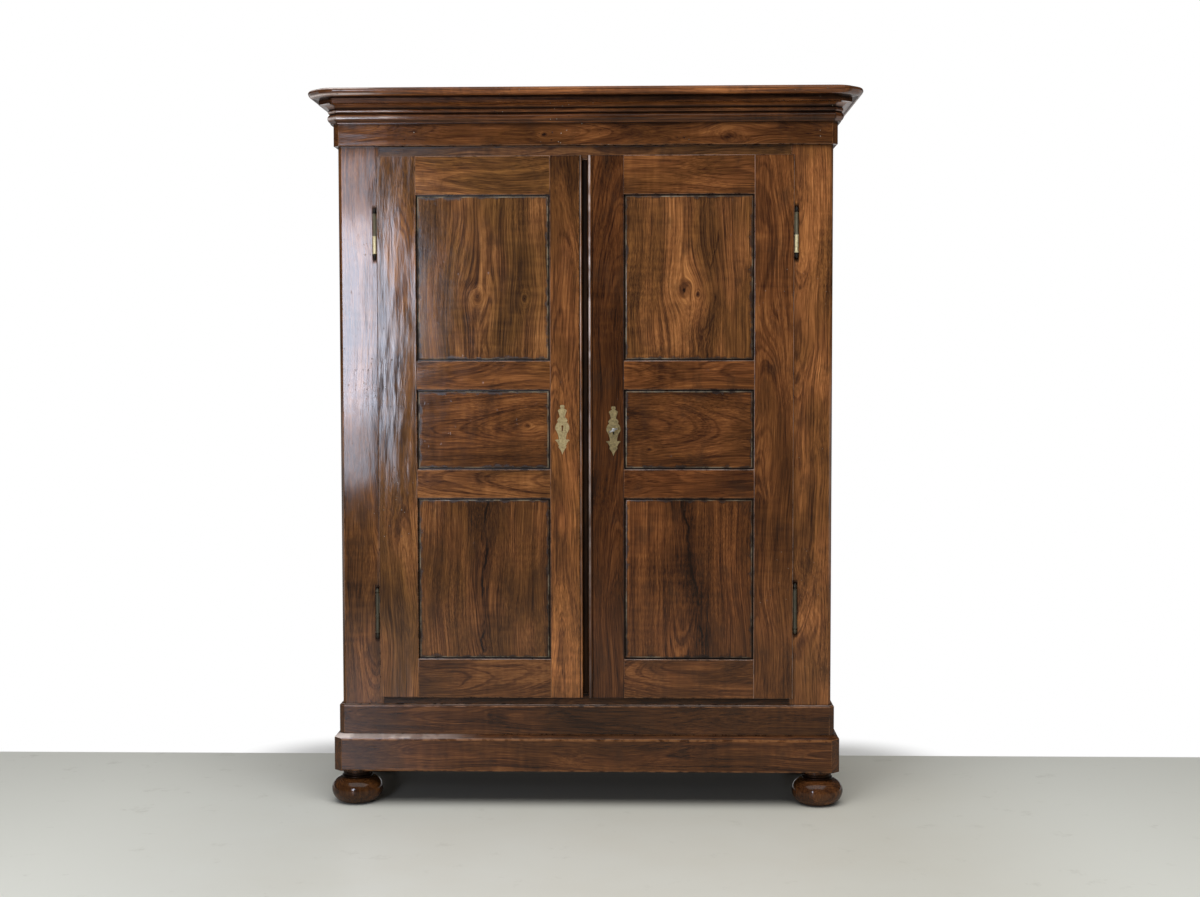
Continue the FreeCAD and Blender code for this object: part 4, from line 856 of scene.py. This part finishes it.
def metal(node, material, slot, ease, tarnish=None):
    """Replace a CAD node by a copy with eased edges; tarnish gives a point's blackness."""
    mesh = bmesh.new()
    mesh.from_mesh(cad_nodes[node].data)
    bmesh.ops.remove_doubles(mesh, verts=mesh.verts, dist=SAME_PLACE)
    bmesh.ops.dissolve_limit(mesh, angle_limit=FLAT, verts=mesh.verts, edges=mesh.edges)
    weight = mesh.edges.layers.float.new("bevel_weight_edge")
    blackness = mesh.verts.layers.float.new("tarnish")
    for edge in mesh.edges:
        if len(edge.link_faces) == 2 and edge.calc_face_angle_signed(0) > SHARP:
            edge[weight] = 1.0
    for vertex in mesh.verts:
        vertex[blackness] = tarnish(vertex.co) if tarnish else 0.0
    finish_piece(mesh, node, material, ease, slot)


def hinge_tarnish(place):
    """Upper hinges: bright lower half between black knobs. Lower hinges: dull all over."""
    if place.z < BETWEEN_HINGES:
        return 0.93 if LOWER_FOOT < place.z < LOWER_TOP else 0.98
    if place.z > UPPER_TOP or place.z < UPPER_FOOT:
        return 1.0
    return 0.86 if place.z > UPPER_JOINT else 0.05


metal("left_escutcheon", brass, "brass", 0.0005)
metal("right_escutcheon", dim_brass, "brass", 0.0005)
for side in ("left", "right"):
    for half in ("door", "frame"):
        metal("%s_hinge_%s_halves" % (side, half), hinge_brass, "brass", 0.0003, hinge_tarnish)
for node in ("lock_case", "lock_bolt", "bolt_keeper", "top_bolt", "bottom_bolt", "slide_bolt_plates"):
    metal(node, iron, "iron", 0.0005)
metal("key", steel, "steel", 0.0003)


# Pins and screws: round heads set on points


def head_tree(name, material):
    """Nodes that set a round head, slotted if asked, on every point of a mesh along its facing."""
    tree = bpy.data.node_groups.new(name, "GeometryNodeTree")
    new_socket = tree.interface.new_socket
    new_socket("Points", in_out="INPUT", socket_type="NodeSocketGeometry")
    for label in ("Radius", "Height", "Slot width"):
        new_socket(label, in_out="INPUT", socket_type="NodeSocketFloat")
    new_socket("Slotted", in_out="INPUT", socket_type="NodeSocketBool")
    new_socket("Heads", in_out="OUTPUT", socket_type="NodeSocketGeometry")

    def add(kind, settings=None, inputs=None, output=0):
        node = tree.nodes.new(kind)
        for key, value in (settings or {}).items():
            setattr(node, key, value)
        for key, value in (inputs or {}).items():
            if isinstance(value, bpy.types.NodeSocket):
                tree.links.new(value, node.inputs[key])
            else:
                node.inputs[key].default_value = value
        return node.outputs[output]

    given = tree.nodes.new("NodeGroupInput").outputs
    radius, height = given["Radius"], given["Height"]

    # The head: a flattened ball, from which a bar cuts the slot
    ball = add("GeometryNodeMeshUVSphere", None, {"Segments": 14, "Rings": 7, "Radius": radius})
    share = add("ShaderNodeMath", {"operation": "DIVIDE"}, {0: height, 1: radius})
    squash = add("ShaderNodeCombineXYZ", None, {0: 1.0, 1: 1.0, 2: share})
    head = add("GeometryNodeTransform", None, {"Geometry": ball, "Scale": squash})
    long = add("ShaderNodeMath", {"operation": "MULTIPLY"}, {0: radius, 1: 3.0})
    bar_size = add("ShaderNodeCombineXYZ", None, {0: long, 1: given["Slot width"], 2: height})
    bar = add("GeometryNodeMeshCube", None, {"Size": bar_size})
    up = add("ShaderNodeCombineXYZ", None, {2: height})
    raised = add("GeometryNodeTransform", None, {"Geometry": bar, "Translation": up})
    cut = add("GeometryNodeMeshBoolean", {"operation": "DIFFERENCE"}, {"Mesh 1": head, "Mesh 2": raised})
    choice = add("GeometryNodeSwitch", {"input_type": "GEOMETRY"},
                 {"Switch": given["Slotted"], "False": head, "True": cut})

    # Each head faces its point's way and is turned by chance
    facing = add("GeometryNodeInputNamedAttribute", {"data_type": "FLOAT_VECTOR"}, {"Name": "facing"},
                 "Attribute")
    aim = add("FunctionNodeAlignRotationToVector", {"axis": "Z"}, {"Vector": facing})
    heads = add("GeometryNodeInstanceOnPoints", None,
                {"Points": given["Points"], "Instance": choice, "Rotation": aim})
    twist = add("FunctionNodeRandomValue", {"data_type": "FLOAT"}, {3: math.pi, "Seed": 5}, 1)
    about = add("ShaderNodeCombineXYZ", None, {2: twist})
    turned = add("GeometryNodeRotateInstances", None,
                 {"Local Space": True, "Instances": heads, "Rotation": about})
    real = add("GeometryNodeRealizeInstances", None, {0: turned})
    painted = add("GeometryNodeSetMaterial", None, {"Material": material, "Geometry": real})
    tree.links.new(painted, tree.nodes.new("NodeGroupOutput").inputs["Heads"])
    return tree


def heads(name, tree, body, slot, points, facing, radius, height, slot_width=0.0):
    """Set the heads of one body: points in metres, all facing one way."""
    data = bpy.data.meshes.new(name + "_points")
    data.from_pydata(points, [], [])
    aims = data.attributes.new("facing", "FLOAT_VECTOR", "POINT")
    aims.data.foreach_set("vector", list(facing) * len(points))
    draft = new_object(name + "_draft", data)
    modifier = draft.modifiers.new("heads", "NODES")
    modifier.node_group = tree
    sizes = {"Radius": radius, "Height": height, "Slot width": slot_width, "Slotted": slot_width > 0}
    for item in tree.interface.items_tree:
        if item.item_type == "SOCKET" and item.in_out == "INPUT" and item.name in sizes:
            modifier[item.identifier] = sizes[item.name]
    result = applied(draft)
    result.polygons.foreach_set("use_smooth", [True] * len(result.polygons))
    mark_sharp(result)
    piece = new_object(name, result)
    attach(piece, body)


pins = head_tree("pin_heads", brass)
screws = head_tree("screw_heads", iron)
# The four pins of an escutcheon, beside its middle and above its foot
PIN_PLACES = ((0, 0.010), (-0.0165, 0.0725), (0.0165, 0.0725), (0, 0.1325))
PIN_FACE, CASE_FACE = -0.2242, -0.1688
for side, body, middle, foot in (("left", "left_door", -0.065, 1.0161),
                                 ("right", "right_door", 0.081, 1.0117)):
    spots = [(middle + beside, PIN_FACE, foot + above) for beside, above in PIN_PLACES]
    heads(side + "_escutcheon_pins", pins, body, "brass", spots, (0, -1, 0), 0.0013, 0.0007)
case_screws = [(x, CASE_FACE, z) for x in (0.019, 0.102) for z in (1.069, 1.125)]
heads("lock_case_screws", screws, "right_door", "iron", case_screws, (0, 1, 0), 0.0038, 0.0016, 0.0009)

# Floor, light and camera

WALL_LINE, LINE_BLUR, FLOOR_HALF = 0.42, 0.004, 60.0


def floor():
    """A pale floor that turns white a little way behind the cupboard."""
    finish = Finish(bpy.data.materials.new("pale_floor"))
    place = finish.place()
    across, back_from, _ = finish.split(place)
    aside = across.of("ABSOLUTE")
    behind = back_from.ease(WALL_LINE - LINE_BLUR, WALL_LINE + LINE_BLUR)

    # Clouded, scuffed, paler to the sides and white behind
    cloud = finish.noise(place, (1.7, 1.7, 1.7), 4, 0.6) - 0.5
    grey = finish.mix(cloud * 1.4 + across * 0.35 + 0.5, srgb(215, 215, 207), srgb(207, 204, 192))
    grey = finish.mix(aside.ease(0.7, 1.5), grey, srgb(228, 228, 219))
    scuff = finish.noise(place, (9, 9, 9), 4, 0.7).ease(0.60, 0.72)
    grey = finish.mix(scuff * 0.25, grey, srgb(176, 173, 160))
    colour = finish.mix(behind, grey, srgb(250, 250, 248))

    # Darker where polish mirrors it, and a painted shadow under the cupboard
    mirrored = finish.node("ShaderNodeLightPath", output="Is Glossy Ray")
    colour = finish.mix(mirrored * 0.5 * (1 - behind), colour, srgb(60, 58, 54))
    under = (1 - aside.ease(0.60, 0.78)) * (1 - (back_from - 0.02).of("ABSOLUTE").ease(0.18, 0.30))
    colour = finish.mix(under * 0.6, colour, srgb(70, 67, 62))
    matt = finish.node("ShaderNodeBsdfPrincipled", None,
                       {"Base Color": colour, "Roughness": 0.36 + behind * 0.4, "IOR": 1.4})

    # Seen directly it is even grey far off and glows white behind, except near the cupboard
    direct = finish.node("ShaderNodeLightPath", output="Is Camera Ray")
    distance = (across * across * 0.6 + back_from * back_from).of("SQRT")
    far_off = distance.ease(3.2, 4.4) * (1 - behind) * direct
    even = finish.node("ShaderNodeEmission", None, {"Color": srgb(203, 202, 194), "Strength": 1.0})
    far_floor = finish.node("ShaderNodeMixShader", None, {0: far_off, 1: matt, 2: even})
    beside = (aside - 0.79).of("MAXIMUM", 0)
    beyond = (back_from - 0.29).of("MAXIMUM", 0)
    away = (beside * beside + beyond * beyond).of("SQRT").ease(0.16, 0.42) * behind
    white = away * direct.of("MAXIMUM", mirrored)
    glow = finish.node("ShaderNodeEmission", None, {"Color": (1, 1, 1, 1), "Strength": 1.0})
    return finish.close(finish.node("ShaderNodeMixShader", None, {0: white, 1: far_floor, 2: glow}))


ground = bpy.data.meshes.new("ground")
ground_corners = [(x * FLOOR_HALF, y * FLOOR_HALF, 0) for x, y in ((-1, -1), (1, -1), (1, 1), (-1, 1))]
ground.from_pydata(ground_corners, [], [(0, 1, 2, 3)])
ground.materials.append(floor())
ground_piece = new_object("ground", ground)


def area_light(name, place, target, width, height, radiance, colour=(1, 1, 1), mirrored=True):
    """A rectangular lamp that faces a point; its power follows from its radiance and its size."""
    data = bpy.data.lights.new(name, "AREA")
    data.shape = "RECTANGLE"
    data.size = width
    data.size_y = height
    data.energy = radiance * width * height * math.pi
    data.color = colour
    lamp = new_object(name, data)
    lamp.location = place
    lamp.rotation_euler = (Vector(target) - Vector(place)).to_track_quat("-Z", "Y").to_euler()
    lamp.visible_glossy = mirrored


# A window in front to the left, in three parts, and a bright pane beside it
DAYLIGHT = (0.76, 0.83, 1.0)
for name, middle, height, radiance in (("window", 1.50, 1.04, 19.0), ("window_top", 2.20, 0.34, 7.0),
                                       ("window_foot", 0.80, 0.34, 9.0)):
    area_light(name, (-1.52, -4.3, middle), (-1.42, 0, middle), 0.56, height, radiance, DAYLIGHT)
area_light("pane", (-1.15, -4.3, 1.60), (-1.07, 0, 1.60), 0.15, 0.58, 10.0, DAYLIGHT)

# A ceiling whose light is strong and whose mirror image is weak
CEILING = ((0.1, -2.4, 3.6), (0.05, -0.7, 0.4), 4.6, 1.6)
area_light("ceiling", *CEILING, 3.12, mirrored=False)
area_light("ceiling_gloss", *CEILING, 1.3)
area_light("skylight", (0.0, -2.2, 4.2), (0.0, -2.2, 0.0), 6.0, 3.6, 1.1)

# The room's own light: white to the camera, dimmer in mirror images than on surfaces
ROOM_GLOW, MIRRORED_GLOW = 0.30, 0.05
room = Finish(bpy.data.worlds.new("room"), "ShaderNodeOutputWorld")
in_mirrors = room.node("ShaderNodeLightPath", output="Is Glossy Ray")
dimmed = room.node("ShaderNodeMapRange", None,
                   {"Value": in_mirrors, "To Min": ROOM_GLOW, "To Max": MIRRORED_GLOW})
strength = room.node("ShaderNodeLightPath", output="Is Camera Ray").of("MAXIMUM", dimmed)
bpy.context.scene.world = room.close(
    room.node("ShaderNodeBackground", None, {"Color": (1, 1, 1, 1), "Strength": strength}))

CAMERA_PLACE = (0.178, -5.072, 1.285)
camera_data = bpy.data.cameras.new("camera")
camera_data.lens = 51.0
camera_data.sensor_width = 36.0
camera_data.clip_end = 200.0
camera = new_object("camera", camera_data)
yaw, pitch, roll = math.radians(1.6), math.radians(2.964), math.radians(-0.1)
turn = (Matrix.Rotation(yaw, 4, "Z") @ Matrix.Rotation(math.pi / 2 - pitch, 4, "X")
        @ Matrix.Rotation(roll, 4, "Z"))
camera.matrix_world = Matrix.Translation(CAMERA_PLACE) @ turn
bpy.context.scene.camera = camera
bpy.context.scene.view_settings.view_transform = "Standard"
